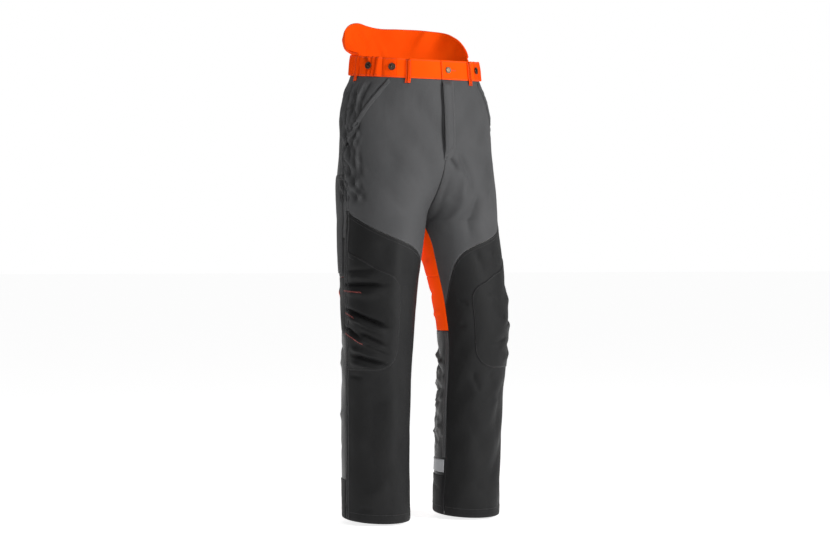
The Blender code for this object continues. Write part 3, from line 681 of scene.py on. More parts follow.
def makeStitches():
    # Each stitch is a short spindle: rings of four points, narrow at both ends, laid along the seam.
    rings = np.array([(-0.5, 0.35), (-0.3, 1.0), (0.3, 1.0), (0.5, 0.35)])
    around = np.radians([45, 135, 225, 315])
    faces = [(r * 4 + i, r * 4 + (i + 1) % 4, (r + 1) * 4 + (i + 1) % 4,
        (r + 1) * 4 + i) for r in range(3) for i in range(4)]
    faces = np.array([*faces, (3, 2, 1, 0), (12, 13, 14, 15)])
    for (tint, way, side), rows in stitchRows.items():
        points = np.concatenate([p for p, _ in rows])
        normals = np.concatenate([n for _, n in rows])
        along = np.concatenate([np.gradient(p, axis=0) for p, _ in rows])
        along /= np.maximum(np.linalg.norm(along, axis=1, keepdims=True), 1e-9)
        beside = np.cross(along, normals)
        clear = np.linalg.norm(beside, axis=1) > 0.1
        points, normals, along, beside = points[clear], normals[clear], along[clear], beside[clear]
        beside /= np.linalg.norm(beside, axis=1, keepdims=True)
        radius, length = stitchShape["radius"], stitchShape["length"]
        lengthways = rings[:, 0][None, :, None, None] * length * along[:, None, None, :]
        sideways = rings[:, 1][None, :, None, None] * radius * (
            np.cos(around)[None, None, :, None] * beside[:, None, None, :] + np.sin(around)[None, None, :,
            None] * normals[:, None, None, :]
        )
        body = points[:, None, None, :] + lengthways + sideways - normals[:, None, None, :] * stitchShape["sink"]
        count = len(points)
        verts = body.reshape(-1, 3)
        quads = (faces[None] + np.arange(count)[:, None, None] * 16).reshape(-1, 4)
        name = f"stitches_{tint}_{way}_{side}" if way in ("hipBend", "kneeBend") else f"stitches_{tint}_{way}"
        mesh = bpy.data.meshes.new(name)
        mesh.from_pydata(verts.tolist(), [], quads.tolist())
        mesh.shade_smooth()
        mesh.materials.append(thread[tint])
        attach(linked(name, mesh), way)


seamLines = {
    "front": ((0, -0.588), (0.05, -0.560), (0.12, -0.524), (0.22, -0.486), (0.30, -0.467), (0.42, -0.448),
    (0.55, -0.433),
              (0.72, -0.411), (0.86, -0.389), (1.0, -0.366)),
    "seat": ((1.0, -0.430), (1.5, -0.400), (2.0, -0.375)),
    "calfTop": -0.648,
    "kneeInner": {"right": 0.48, "left": 0.33},
    "kneeTop": ((0.33, -0.548), (0.48, -0.530), (0.555, -0.517), (0.69, -0.500), (0.86, -0.472), (1.0, -0.455)),
    "kneeBottom": -0.736,
    "kneeCorner": 0.055,
}
layers = {
    "overlay": 0.0013, "patch": 0.0016, "pad": -0.0025, "padThickness": 0.0050, "hipLining": -0.0065,
    "legLining": -0.0088,
    "liningThickness": 0.0006, "edge": 0.0015,
}


def frontSeam(turn):
    return throughPoints(seamLines["front"], turn)


def seatSeam(turn):
    return throughPoints(seamLines["seat"], turn)


def kneeTop(turn):
    return throughPoints(seamLines["kneeTop"], turn)


def kneeUpper(side):
    inner, girth = seamLines["kneeInner"][side], bodyShape["girthPerTurn"]
    return lambda turn: kneeTop(turn) - 0.030 * (1 - np.sqrt(1
        - np.clip(1 - (np.asarray(turn) - inner) * girth / 0.030, 0, 1) ** 2))


def kneeBottom(side):
    # A level edge, rounded off to a quarter circle at the inner corner.
    inner, corner, girth = seamLines["kneeInner"][side], seamLines["kneeCorner"], bodyShape["girthPerTurn"]

    def edge(turn):
        reach = np.clip(1 - (np.asarray(turn) - inner) * girth / corner, 0, 1)
        return seamLines["kneeBottom"] + corner * (1 - np.sqrt(1 - reach**2))

    return edge


def liningOut(z):
    # The lining lies near the cloth at the hips and drops behind the pad below its top edge.
    return layers["hipLining"] + (layers["legLining"] - layers["hipLining"]) * smooth((-0.36 - z) / 0.03)


for side in ("right", "left"):
    edge = layers["edge"]
    front, back = (edge, 1 - edge), (1 + edge, 2 - edge)
    gap = seamAllowance / 2
    legPanel(f"upper_front_{side}", side, "greyTwill", front, -0.0478, lambda t: frontSeam(t) + gap, way="hipBend",
             nodes=[f"front_hip_{side}"], cell=0.0028)
    legPanel(f"lower_front_{side}", side, "blackTwill", front, lambda t: frontSeam(t) - gap, bodyShape["hem"],
             nodes=[f"front_thigh_{side}", f"front_shin_{side}"])
    legPanel(f"knee_patch_{side}", side, "kneeWeave", (seamLines["kneeInner"][side], 0.952), kneeUpper(side),
        kneeBottom(side),
             out=layers["overlay"], puff=0.0018,
             cell=0.0026)
    legPanel(f"seat_panel_{side}", side, "greyTwill", back, -0.0478, lambda t: seatSeam(t) + gap, way="hipBend",
             nodes=[f"seat_{side}"])
    legPanel(f"side_back_upper_{side}", side, "blackTwill", (1 + edge, 1.20 - edge), lambda t: seatSeam(t) - gap,
        seamBetweenBends + gap,
             way="hipBend")
    legPanel(f"side_back_lower_{side}", side, "blackTwill", (1 + edge, 1.20 - edge), seamBetweenBends - gap,
        seamLines["calfTop"] + gap)
    inside = (1.20 + edge, 2 - edge)
    legPanel(f"orange_upper_{side}", side, "orangeTwill", inside, lambda t: seatSeam(t) - gap, seamBetweenBends + gap,
             way="hipBend", nodes=[f"back_thigh_{side}"])
    legPanel(f"orange_lower_{side}", side, "orangeTwill", inside, seamBetweenBends - gap, seamLines["calfTop"] + gap)
    legPanel(f"calf_{side}", side, "calfStretch", back, seamLines["calfTop"] - gap, bodyShape["hem"],
             nodes=[f"back_shin_{side}"])
    legPanel(f"reflective_tape_{side}", side, "silverTape", (1.24, 1.985), -0.955, -0.985, out=layers["patch"],
        thickness=0.0006,
             nodes=[f"reflective_band_{side}"],
             roll=0.0004)
    legPanel(f"heel_panel_{side}", side, "heelCanvas", (1.01, 1.985), -0.993, bodyShape["hem"] + 0.001,
        out=layers["patch"],
             nodes=[f"heel_guard_{side}"])
    legPanel(f"outseam_strip_upper_{side}", side, "greyTwill", (0.955, 1.001), -0.192, -0.3655, out=layers["overlay"],
             way="hipBend", cell=0.0030)
    legPanel(f"outseam_strip_lower_{side}", side, "stripTwill", (0.955, 1.001), -0.3662, bodyShape["hem"] + 0.001,
             out=layers["overlay"], cell=0.0030)
    legPanel(f"inseam_tape_{side}", side, "pipingLight", (1.9600, 1.9985), -0.650, -0.950, out=layers["overlay"],
             thickness=0.0008, cell=0.0030)
    # the pad starts below the cloth that folds at the hip
    padTop = lambda t, side=side: np.minimum(-0.400, -0.492 + 0.75 * np.abs(bodyPoint(side, t,
        np.full(np.shape(t), -0.44))[..., 0]))
    legPanel(f"protective_pad_{side}", side, "padKnit", (0.02, 0.98), padTop, -1.070, out=layers["pad"],
             thickness=layers["padThickness"], nodes=[f"saw_pad_thigh_{side}", f"saw_pad_shin_{side}"],
             cell=0.0036)
    inner = (edge, 2 - edge)
    hip = legPanel(f"hip_lining_{side}", side, "liningSatin", inner, -0.055, seamBetweenBends + 0.0004, out=0,
                   thickness=layers["liningThickness"], way="hipBend", nodes=[f"lining_hip_{side}"],
                   cell=0.007,
                   layer=liningOut)
    legPanel(f"leg_lining_{side}", side, "liningSatin", inner, seamBetweenBends - 0.0004, bodyShape["hem"] + 0.006,
             thickness=layers["liningThickness"], nodes=[f"lining_thigh_{side}", f"lining_shin_{side}"],
             cell=0.007,
             layer=liningOut)
    legPanel(f"pocket_pouch_{side}", side, "liningSatin", (0.50, 0.96), -0.056, -0.262, out=-0.0036, thickness=0.0008,
        way="hipBend",
             nodes=[f"pocket_bag_{side}"], cell=0.006)
print("leg panels made")

legPanel("rule_pocket_cloth", "right", "pocketTwill", (1.03, 1.42), -0.280, -0.512, out=layers["patch"], way="hipBend",
         nodes=["rule_pocket"], puff=0.002)
legPanel("back_pocket_cloth", "right", "greyTwill", (1.45, 1.83), -0.106, -0.236, out=layers["patch"], way="hipBend",
         nodes=["back_pocket"], puff=0.0010)

pocketShape = {"line": ((0.535, -0.0495), (0.633, -0.090), (0.754, -0.132), (0.856, -0.163), (0.960, -0.196)),
    "out": 0.0022}


def pocketFacing(side):
    # A strip whose upper edge is the pocket's mouth: it stands a little proud, over a dark opening.
    turns, heights = np.array(pocketShape["line"]).T
    along, across = np.linspace(0, 1, 60), spaced(0.016, 0.003)
    turn = np.interp(along, np.linspace(0, 1, len(turns)), turns)[:, None] - across * 0.024
    z = np.interp(along, np.linspace(0, 1, len(heights)), heights)[:, None] - across * 0.009
    lift = pocketShape["out"] * (1 - 0.65 * across) + edgeRoll(across, 0.016,
        0.0008) + 0.0016 * np.sin(np.pi * along)[:, None] * (1 - across)
    points = clothPoint(side, turn, z, np.broadcast_to(lift, turn.shape))
    made = gridObject(f"pocket_edge_{side}", points, np.stack([turn * 0.27, z], axis=-1), side == "right",
        cloth["greyTwill"])
    thicken(made, 0.0012)
    attach(made, "hips")
    line = np.linspace(0, 1, 40)
    for inset in (0.14, 0.50):
        stitch(onLeg(side), np.interp(line, np.linspace(0, 1, len(turns)), turns) - inset * 0.024,
               np.interp(line, np.linspace(0, 1, len(heights)), heights) - inset * 0.009, 0.0018, "grey", "hips")


for side in ("right", "left"):
    pocketFacing(side)

waistShape = {
    "bandOut": 0.0012, "bandThickness": 0.0026, "gatherFrom": 52.0, "gatherTo": 126.0, "gatherPitch": 6.9,
    "gatherHeight": 0.0066,
    "lap": -0.004, "lapHeight": 0.0018,
    "guardHeight": ((92, 0.010), (96, 0.024), (103, 0.042), (118, 0.060), (145, 0.069), (172, 0.069), (190, 0.068),
    (203, 0.073),
                    (214, 0.078), (223, 0.074), (231, 0.064), (238, 0.050), (244, 0.034), (250, 0.018), (258, 0.008),
                    (273, 0.006)),
    "guardLean": ((92, 0.000), (115, 0.003), (150, 0.005), (180, 0.005), (205, 0.009), (222, 0.017), (238, 0.028),
    (250, 0.024),
                  (262, 0.004), (273, 0.000)),
    "loopWidth": 0.013, "loopBottom": -0.0595,
}


def gatherAt(degrees, z):
    # Elastic gathers: a wave round the side of the waist whose phase wanders with height, strongest mid-band.
    around = np.abs((np.asarray(degrees, float) + 180) % 360 - 180)
    share = smooth((around - waistShape["gatherFrom"]) / 9) * smooth((waistShape["gatherTo"] - around) / 9)
    phase = 2 * math.pi * around / waistShape["gatherPitch"] + 1.3 * np.sin(around * 0.37) + 1.5 * np.sin(34 * z
        + around * 0.21)
    uneven = 0.80 + 0.20 * np.sin(around * 0.43 + 1.3)
    # the cloth lies flat under the side stud
    uneven = uneven * (1 - np.exp(-(((around - 71) / 4.4) ** 4) - ((z + 0.022) / 0.0125) ** 4))
    return waistShape["gatherHeight"] * share * uneven * (np.abs(np.sin(phase / 2)) ** 0.65 * 2 - 1) * (0.75 + 0.25
        * np.sin(np.pi * -z / bodyShape["bandDepth"]))


def bandPoint(degrees, z, out=0.0):
    degrees, z, out = np.broadcast_arrays(np.asarray(degrees, float), np.asarray(z, float), np.asarray(out, float))
    gather = gatherAt(degrees, z)
    return waistPoint(degrees, z + 0.22 * gather, waistShape["bandOut"] + gather + out)


def bandPiece(name, look, span, top, bottom, nodes, lift=None, thickness=None,
    cell=0.0025):
    first, last = span
    across = spaced(math.radians(abs(last - first)) * 0.158, cell)
    degrees = first + (last - first) * across
    length = top - bottom
    down = spaced(length, cell)
    z = top - length * down[None, :] + 0 * degrees[:, None]
    out = edgeRoll(down, length, 0.0009)[None, :] + edgeRoll(across, 0.15, 0.0006)[:, None]
    out = out + (lift(degrees)[:, None] if lift else 0)
    points = bandPoint(degrees[:, None], z, out)
    made = gridObject(name, points, np.stack([np.radians(degrees)[:, None] * 0.158 + 0 * z, z], axis=-1), True,
        cloth[look])
    edge = np.minimum(down, 1 - down)[None, :] * length + 0 * degrees[:, None]
    paintSeam(made, edge)
    # painted shade: the valleys of the elastic gathers darken the colour
    paintedShade = np.clip(0.30 - gatherAt(degrees[:, None], z) / waistShape["gatherHeight"] * 2.4, 0,
        1.25) * (np.abs(gatherAt(degrees[:, None], z)) > 1e-5)
    paint(made, "hollow", paintedShade)
    thicken(made, thickness or waistShape["bandThickness"])
    return attach(made, "hips", nodes)


def lapLift(degrees):
    return waistShape["lapHeight"] * smooth((14 - degrees) / 8)


lapDegrees = math.degrees(math.asin(waistShape["lap"] / 0.158))
bandPiece("band_front_right", "orangeTwill", (-42, lapDegrees - 0.25), 0.0, -0.0475, ["waistband_right_front"])
bandPiece("band_front_left", "orangeTwill", (lapDegrees, 41.9), 0.0, -0.0475, ["waistband_left_front"], lift=lapLift)
bandPiece("band_side_left", "orangeElastic", (42.1, 121.9), 0.0, -0.0475, ["waistband_left_side"],
    cell=0.0018)
bandPiece("band_back", "orangeElastic", (122.1, 237.9), 0.0, -0.0475, ["waistband_back"])
bandPiece("band_side_right", "orangeElastic", (238.1, 317.9), 0.0, -0.0475, ["waistband_right_side"],
    cell=0.0018)


def guardPoint(degrees, share, out=0.0):
    # Height and outward lean come from the tables; the edge leans out by a sine of the height and ripples in soft
    # lobes.
    degrees, share, out = np.broadcast_arrays(np.asarray(degrees, float), np.asarray(share, float),
        np.asarray(out, float))
    height = throughPoints(waistShape["guardHeight"], degrees)
    lean = throughPoints(waistShape["guardLean"], degrees) * np.sin(0.5 * np.pi * np.clip(share, 0, 1) ** 1.25 * 1.25)
    lobes = 0.0042 * np.sin(np.radians(degrees) * 5.0 + 2.2) * share + 0.0022 * np.sin(np.radians(degrees) * 11 + 2
        * share) * share
    soft = 0.0024 * np.sin(13 * np.radians(degrees) + 4 * share) * np.sin(np.pi
        * share) - 0.0060 * np.exp(-(((degrees - 160 + 16 * share) / 3.2) ** 2)) * share \
        + 0.0056 * np.exp(-(((degrees - 199 - 18 * share) / 3.6) ** 2)) * np.sin(np.pi * share)
    for start, slant, width, depth in ((214, -12, 2.4, -0.0042), (208, -16, 3.0, 0.0040), (222, 9, 2.2, -0.0036),
        (229, 14, 2.6, 0.0036), (186, 10, 2.6, -0.0034)):
        soft = soft + depth * np.exp(-(((degrees - start - slant * share) / width) ** 2)) * (1
            - share) ** 0.7 * smooth(share / 0.12 + 0.3)
    tuck = (1 - np.clip(share, 0, 1)) ** 6
    return waistPoint(degrees, 0.0006 - 0.0055 * tuck + height * share,
        -0.0004 - 0.0018 * tuck + lean + lobes + soft + out)


def makeGuard():
    across, down = spaced(0.50, 0.0035), spaced(0.080, 0.0035)
    degrees = (waistShape["guardHeight"][0][0] + (waistShape["guardHeight"][-1][0] - waistShape["guardHeight"][0][0])
        * across)[:, None]
    share = (1 - down)[None, :]
    roll = edgeRoll(across, 0.50, 0.0010)[:, None] + edgeRoll(down, 0.08, 0.0012)[None, :]
    points = guardPoint(degrees, share, np.maximum(roll, -0.0014))
    uvs = np.stack([np.radians(degrees) * 0.158 + 0 * share, share * 0.08 + 0 * degrees], axis=-1)
    made = gridObject("kidney_guard_cloth", points, uvs, True, cloth["orangeTwill"])
    edge = np.minimum(1 - share, 1.0) * 0.08 + 0 * degrees
    paintSeam(made, edge, 0.004)
    thicken(made, 0.0044)
    attach(made, "hips", ["kidney_guard"])


makeGuard()
print("waistband and guard made")


def makeLoop(name, degrees, nodes):
    # The strap leaves the band under a fold, stands off over the belt gap and is stitched down again below the band.
    share = np.linspace(0, 1, 44)
    z = -0.0015 + (waistShape["loopBottom"] + 0.0015) * share
    stand = 0.0016 + 0.0018 * smooth(share / 0.14) * smooth((1 - share) / 0.16)
    width = spaced(waistShape["loopWidth"], 0.002, (0, 0.0005, 0.0012))
    turnBy = np.degrees((width - 0.5) * waistShape["loopWidth"] / 0.160)
    crown = 0.0005 * (1 - (2 * width - 1) ** 2) + edgeRoll(width, waistShape["loopWidth"], 0.0005)
    points = bandPoint(degrees + turnBy[:, None], z[None, :],
        stand[None, :] + crown[:, None] - gatherAt(degrees + turnBy[:, None], z[None, :]))
    uvs = np.stack([width[:, None] * 0.013 + 0 * z, z[None, :] + 0 * width[:, None]], axis=-1)
    made = gridObject(name, points, uvs, True, cloth["orangeElastic"])
    thicken(made, 0.0016)
    attach(made, "hips", nodes)

    def onLoop(across, z, out=0.0):
        share = np.clip((-0.0015 - z) / (-0.0015 - waistShape["loopBottom"]), 0, 1)
        stand = 0.0016 + 0.0018 * smooth(share / 0.14) * smooth((1 - share) / 0.16)
        return waistPoint(degrees + np.degrees(across / 0.160), z, waistShape["bandOut"] + stand + out)

    for x in (-0.0045, 0.0045):
        stitch(onLoop, [x, x], [-0.004, -0.057], 0.0004, "orange", "hips")
    for z in (-0.0045, -0.0560, -0.0574):
        stitch(onLoop, [-0.0050, 0.0050], [z, z], 0.0006, "orange", "hips", pitch=0.0016)


loopAngles = {"front_right": -31, "front_left": 31, "side_right": -88, "side_left": 88, "back_right": -140,
    "back_left": 140, "back": 180}
for where, degrees in loopAngles.items():
    makeLoop(f"loop_{where}", degrees % 360 if degrees < -120 else degrees, [f"belt_loop_{where}"])


def lathe(name, profile, centre, normal, material, way, nodes=()):
    # The profile's radii and heights turned about the normal, in 40 steps.
    radii, heights = np.array(profile).T
    angle = np.linspace(0, 2 * math.pi, 40, endpoint=False)
    turn = np.array(Vector(normal).to_track_quat("Z", "Y").to_matrix())
    ring = np.stack([radii[:, None] * np.cos(angle), radii[:, None] * np.sin(angle), heights[:, None] + 0 * angle],
        axis=-1)
    verts = (ring.reshape(-1, 3) @ turn.T + np.array(centre)).tolist()
    index = np.arange(len(verts)).reshape(len(radii), 40)
    after = np.roll(index, -1, axis=1)
    quads = np.stack([index[:-1], after[:-1], after[1:], index[1:]], axis=-1).reshape(-1, 4).tolist()
    made = solidObject(name, verts, quads + [index[0][::-1].tolist(), index[-1].tolist()], material)
    made.data.shade_smooth()
    return attach(made, way, nodes)


braceProfile = (
    (0.0030, -0.0012), (0.0034, 0.0004), (0.0060, 0.0006), (0.0082, 0.0010), (0.0086, 0.0016), (0.0083, 0.0023),
    (0.0074, 0.0027),
    (0.0066, 0.0026), (0.0058, 0.0019), (0.0050, 0.0017), (0.0042, 0.0021), (0.0030, 0.0027), (0.0014, 0.0030),
    (0.0002, 0.0031),
)
waistProfile = (
    (0.0026, -0.0015), (0.0030, 0.0006), (0.0056, 0.0008), (0.0072, 0.0012), (0.0076, 0.0018), (0.0074, 0.0025),
    (0.0067, 0.0030),
    (0.0059, 0.0029), (0.0053, 0.0023), (0.0046, 0.0021), (0.0034, 0.0022), (0.0022, 0.0023), (0.0010, 0.0024),
    (0.0002, 0.0024),
)
braceAngles = {"right_front": -46, "right_side": -71, "left_front": 46, "left_side": 71, "back_right": -168,
    "back_left": 168}
for where, degrees in braceAngles.items():
    centre, normal = surfaceFrame(bandPoint, degrees, -0.022, 0.0006)
    centre = waistPoint(degrees, -0.022, waistShape["bandOut"] + 0.0012)
    _, normal = surfaceFrame(waistPoint, degrees, -0.022, 0.0)
    lathe(f"brace_stud_{where}", braceProfile, centre, normal, hard["bronzeDark"], "hips",
        [f"brace_button_{where}"])
centre, normal = surfaceFrame(frontPoint, 0.014, -0.024, 0.0)
lathe("waist_stud", waistProfile, frontPoint(0.014, -0.024, waistShape["bandOut"] + 0.0016), normal,
    hard["agedNickel"], "hips",
      ["waist_button"])

flyShape = {"left": -0.0035, "right": 0.0295, "top": -0.0480, "bottom": -0.247, "lap": 0.0024, "raise": 0.0070,
    "curve": 0.042}


def flyOut(x, z):
    # Low at the free edge, raised over the zip, and flat again before the stitching.
    over = (0.66 + 0.34 * smooth((x + 0.0035) / 0.010)) * smooth((0.0285 - x) / 0.0125)
    ends = smooth((-0.046 - z) / 0.016) * smooth((z + 0.248) / 0.034)
    groove = 0.0007 * np.exp(-(((x - 0.0262) / 0.0011) ** 2)) * smooth((z + 0.2) / 0.01)
    return 0.0018 - groove + (flyShape["lap"] - 0.0018) * smooth((0.012 - x) / 0.012) + flyShape["raise"] * over * ends


def flyBottom(x):
    share = np.clip((x - flyShape["left"]) / (flyShape["right"] + 0.0003 - flyShape["left"]), 0, 1)
    return flyShape["bottom"] + flyShape["curve"] * (1 - np.sqrt(1 - share**2))


def onFly(x, z, out=0.0):
    return frontPoint(x, z, flyOut(x, z) + out)


def zipOut(z):
    # The tape keeps to the slider's straight track, a sine's depth behind the curved front.
    return -0.0010 - 0.0009 * np.sin(np.pi * np.clip((-0.060 - z) / 0.140, 0, 1))


def makeFly():
    across = spaced(flyShape["right"] - flyShape["left"], 0.0018)
    x = flyShape["left"] + (flyShape["right"] - flyShape["left"]) * across
    down = spaced(0.187, 0.0030)
    z = flyShape["top"] + (flyBottom(x) - flyShape["top"])[:, None] * down
    roll = edgeRoll(across, 0.0415, 0.0009)[:, None] + edgeRoll(down, 0.187, 0.0006)[None, :]
    points = onFly(x[:, None], z, np.maximum(roll, -0.0009))
    made = gridObject("fly_front", points, np.stack([x[:, None] + 0 * z, z], axis=-1), True, cloth["greyTwill"])
    edge = np.minimum(across, 1 - across)[:, None] * 0.0415 + 0 * z
    paintSeam(made, edge, 0.0025)
    thicken(made, 0.0011)
    attach(made, "hips", ["fly_flap"])
    for name, span, out, look, node, slot in (
        ("fly_guard", (-0.018, 0.026), -0.0038, "liningSatin", "fly_shield", "grey"),
        ("zip_tape", (0.0055, 0.0185), None, "zipTape", "fly_zip", "plastic"),
    ):
        x, z = np.linspace(*span, 14)[:, None], np.linspace(-0.052, -0.214, 60)[None, :]
        points = frontPoint(x, z, zipOut(z) if out is None else out)
        piece = gridObject(name, points, np.stack([x + 0 * z, z + 0 * x], axis=-1), True, cloth[look])
        thicken(piece, 0.0006)
        attach(piece, "hips", [node])
    line = np.linspace(0, 1, 60)
    x = np.where(line < 0.7, 0.0268, 0.0268 - 0.0268 * smooth((line - 0.7) / 0.3) ** 0.8)
    z = np.interp(line, [0, 0.7, 1.0], [-0.052, -0.195, -0.2410]) - 0.004 * np.sin(np.pi * np.clip((line - 0.7) / 0.3,
        0, 1))
    stitch(onFly, x, z, 0.0002, "grey", "hips")
    stitch(onFly, x - 0.0016, z + 0.0004, 0.0002, "grey", "hips")
    stitch(onFly, [-0.0005, -0.0005], [-0.052, -0.234], 0.0002, "grey", "hips")
    for z in (-0.2385, -0.2400, -0.2415):
        stitch(onFly, [-0.001, 0.006], [z, z], 0.0004, "black", "hips", pitch=0.0016)


def zipTeeth():
    # Two rows of blocks, the second half a step lower, with their inner ends meeting on the centre line.
    pitch, span = 0.0015, (-0.056, -0.210)
    count = int((span[0] - span[1]) / pitch)
    box = np.array([(i, j, k) for i in (-0.5, 0.5) for j in (-0.5, 0.5) for k in (0, 1)], float)
    faces = np.array([(0, 1, 3, 2), (4, 6, 7, 5), (0, 4, 5, 1), (2, 3, 7, 6), (0, 2, 6, 4), (1, 5, 7, 3)])
    row = np.arange(count)
    z = np.concatenate([span[0] - row * pitch, span[0] - (row + 0.5) * pitch])
    x = np.concatenate([np.full(count, 0.0112), np.full(count, 0.0128)])
    points, normals = surfaceFrame(frontPoint, x, z, zipOut(z))
    down = np.array([0, 0, -1.0]) - normals * (normals @ np.array([0, 0, -1.0]))[:, None]
    down /= np.linalg.norm(down, axis=1, keepdims=True)
    beside = np.cross(down, normals)
    verts = points[:, None] + box[:, 0][None, :, None] * 0.0026 * beside[:, None] + box[:, 1][None, :,
        None] * 0.0008 * down[:, None] \
        + (box[:, 2][None, :, None] * 0.00040 + 0.00002) * normals[:, None]
    quads = (faces[None] + np.arange(len(z))[:, None, None] * 8).reshape(-1, 4)
    attach(solidObject("zip_teeth", verts.reshape(-1, 3).tolist(), quads.tolist(), hard["toothPlastic"]), "hips")


def makeSeamTape(name, heights, sign):
    # The binding behind the seam between the two sides: y = middle + sign * (depth + out) * sqrt(1 - across^2).
    x, z = np.linspace(-0.006, 0.006, 9)[:, None], np.linspace(*heights, 80)[None, :]
    half, centre, _ = sectionAt(z)
    rise = np.sqrt(1 - np.clip((np.abs(x) - centre) / half, -1, 1) ** 2)
    depth = sizeAt("frontDepth" if sign < 0 else "backDepth", z) - 0.0042
    points = raked(x + 0 * z, sizeAt("centreY", z) + sign * depth * rise, z + 0 * x)
    piece = gridObject(name, points, np.stack([x + 0 * z, z + 0 * x], axis=-1), sign < 0, cloth["greyTwill"])
    thicken(piece, 0.0006)
    attach(piece, "hips")


makeFly()
zipTeeth()
makeSeamTape("seam_tape_front", (-0.216, -0.360), -1)
makeSeamTape("seam_tape_back", (-0.050, -0.335), 1)

flapShape = {"turns": (1.44, 1.84), "top": -0.0945, "bottom": -0.147, "out": 0.0066, "corner": 0.016}


def onFlap(turn, z, out=0.0):
    rise = smooth((flapShape["top"] - z) / 0.008)
    return bodyPoint("right", turn, z, flapShape["out"] - 0.0032 * (1 - rise) + out)


def makeFlap():
    across = spaced(0.108, 0.0030)
    turn = flapShape["turns"][0] + (flapShape["turns"][1] - flapShape["turns"][0]) * across
    corner = flapShape["corner"] * (1 - np.sqrt(1 - np.clip(1 - np.minimum(across,
        1 - across) * 0.108 / flapShape["corner"], 0, 1) ** 2))
    down = spaced(0.052, 0.0030)
    z = flapShape["top"] + (flapShape["bottom"] + corner - flapShape["top"])[:, None] * down
    roll = edgeRoll(across, 0.108, 0.0009)[:, None] + edgeRoll(down, 0.052, 0.0009)[None, :]
    points = onFlap(turn[:, None], z, np.maximum(roll, -0.0009))
    made = gridObject("pocket_flap_cloth", points, np.stack([turn[:, None] * 0.27 + 0 * z, z], axis=-1), False,
        cloth["greyTwill"])
    edge = np.minimum(np.minimum(across, 1 - across)[:, None] * 0.108, 1 - down[None, :])
    paintSeam(made, edge)
    thicken(made, 0.0012)
    attach(made, "back_pocket_flap", ["back_pocket_flap"])
    stitch(onFlap, [1.462, 1.818], [-0.0975, -0.0975], 0.0002, "grey", "back_pocket_flap")
    stitch(onFlap, [1.462, 1.466, 1.50, 1.78, 1.814, 1.818], [-0.100, -0.128, -0.1425, -0.1425, -0.128, -0.100],
        0.0002, "grey", "back_pocket_flap")


makeFlap()
capProfile = ((0.0022, -0.0010), (0.0026, 0.0004), (0.0056, 0.0006), (0.0064, 0.0009), (0.0065, 0.0013),
    (0.0060, 0.0018), (0.0046, 0.0021),
              (0.0028, 0.0022), (0.0010, 0.0022), (0.0002, 0.0022))
_, normal = surfaceFrame(lambda a, b, out=0.0: bodyPoint("right", a, b, out), 1.625, -0.135)
lathe("snap_cap", capProfile, bodyPoint("right", 1.625, -0.135, flapShape["out"] + 0.0002), normal,
    hard["bronzeDark"], "back_pocket_flap",
      ["pocket_snap_cap"])
print("waist details made")

line = np.linspace(0, 1, 80)
frontLine, backLine = 0.006 + 0.985 * line, 1.008 + 0.984 * line
straightRows = (
    # turns and heights of the two ends, thread, how the row moves, the cloth it goes through
    ((0.9635, 0.9635), (-0.194, -0.364), "grey", "hipBend", "overlay"),  # outseam strip
    ((0.9635, 0.9635), (-0.369, -1.082), "grey", "kneeBend", "overlay"),
    ((0.9935, 0.9935), (-0.194, -0.364), "grey", "hipBend", "overlay"),
    ((0.9935, 0.9935), (-0.369, -1.082), "grey", "kneeBend", "overlay"),
    ((0.006, 0.954), (-1.0655, -1.0655), "black", "kneeBend", None),  # hem
    ((1.014, 1.980), (-0.9955, -0.9955), "black", "kneeBend", "patch"),  # heel panel
    ((1.014, 1.980), (-1.0655, -1.0655), "black", "kneeBend", "patch"),
    ((1.244, 1.981), (-0.9568, -0.9568), "silver", "kneeBend", "patch"),  # reflective tape
    ((1.244, 1.981), (-0.9832, -0.9832), "silver", "kneeBend", "patch"),
    ((1.9660, 1.9660), (-0.652, -0.948), "grey", "kneeBend", "overlay"),  # inseam tape
    ((1.9925, 1.9925), (-0.652, -0.948), "grey", "kneeBend", "overlay"),
    ((1.012, 1.012), (-0.052, -0.425), "grey", "hipBend", None),  # side seam of the seat
    ((1.988, 1.988), (-0.052, -0.320), "grey", "hipBend", None),  # centre seam of the seat
)


def sew(side, first, second, tint="black", way="kneeBend", layer=None, lift=0.0002):
    stitch(onLeg(side), first, second, layers.get(layer, 0.0) + lift, tint, way, side)


for side in ("right", "left"):
    for inset in (0.0022, 0.0085):
        sew(side, frontLine, frontSeam(frontLine) - inset)
        sew(side, backLine, seatSeam(backLine) + inset, "grey", "hipBend")
    for inset in (0.0024, 0.0085):
        sew(side, (1.008, 1.992), [seamLines["calfTop"] - inset] * 2)
    # two rows round the knee patch
    inner = seamLines["kneeInner"][side]
    for inset in (0.0022, 0.0080):
        inTurn = inset / bodyShape["girthPerTurn"]
        turn = inner + inTurn + (0.945 - inner - inTurn) * line
        sew(side, turn, kneeUpper(side)(turn - inTurn) - inset, layer="overlay")
        sew(side, turn, kneeBottom(side)(turn - inTurn) + inset, layer="overlay")
        low = seamLines["kneeBottom"] + seamLines["kneeCorner"] + 0.004
        high = float(kneeTop(inner)) - 0.030 - inset
        sew(side, [inner + inTurn] * 2, (high, low), layer="overlay")
    for row in straightRows:
        sew(side, *row)
sew("left", (0.012, 0.012), (-0.240, -0.325), "grey", "hipBend")

# pairs of accent stitches that pin the pleats of the right knee
accentRows = ((0.995, -0.5505, 0.806, -0.5545), (0.990, -0.6015, 0.885, -0.6125), (0.990, -0.6490, 0.802, -0.6740))
for startTurn, startZ, endTurn, endZ in accentRows:
    for nudge in (0.0, 0.0016):
        sew("right", (startTurn, endTurn), (startZ - nudge, endZ - nudge), "red", "kneeBend", "overlay", 0.0016)


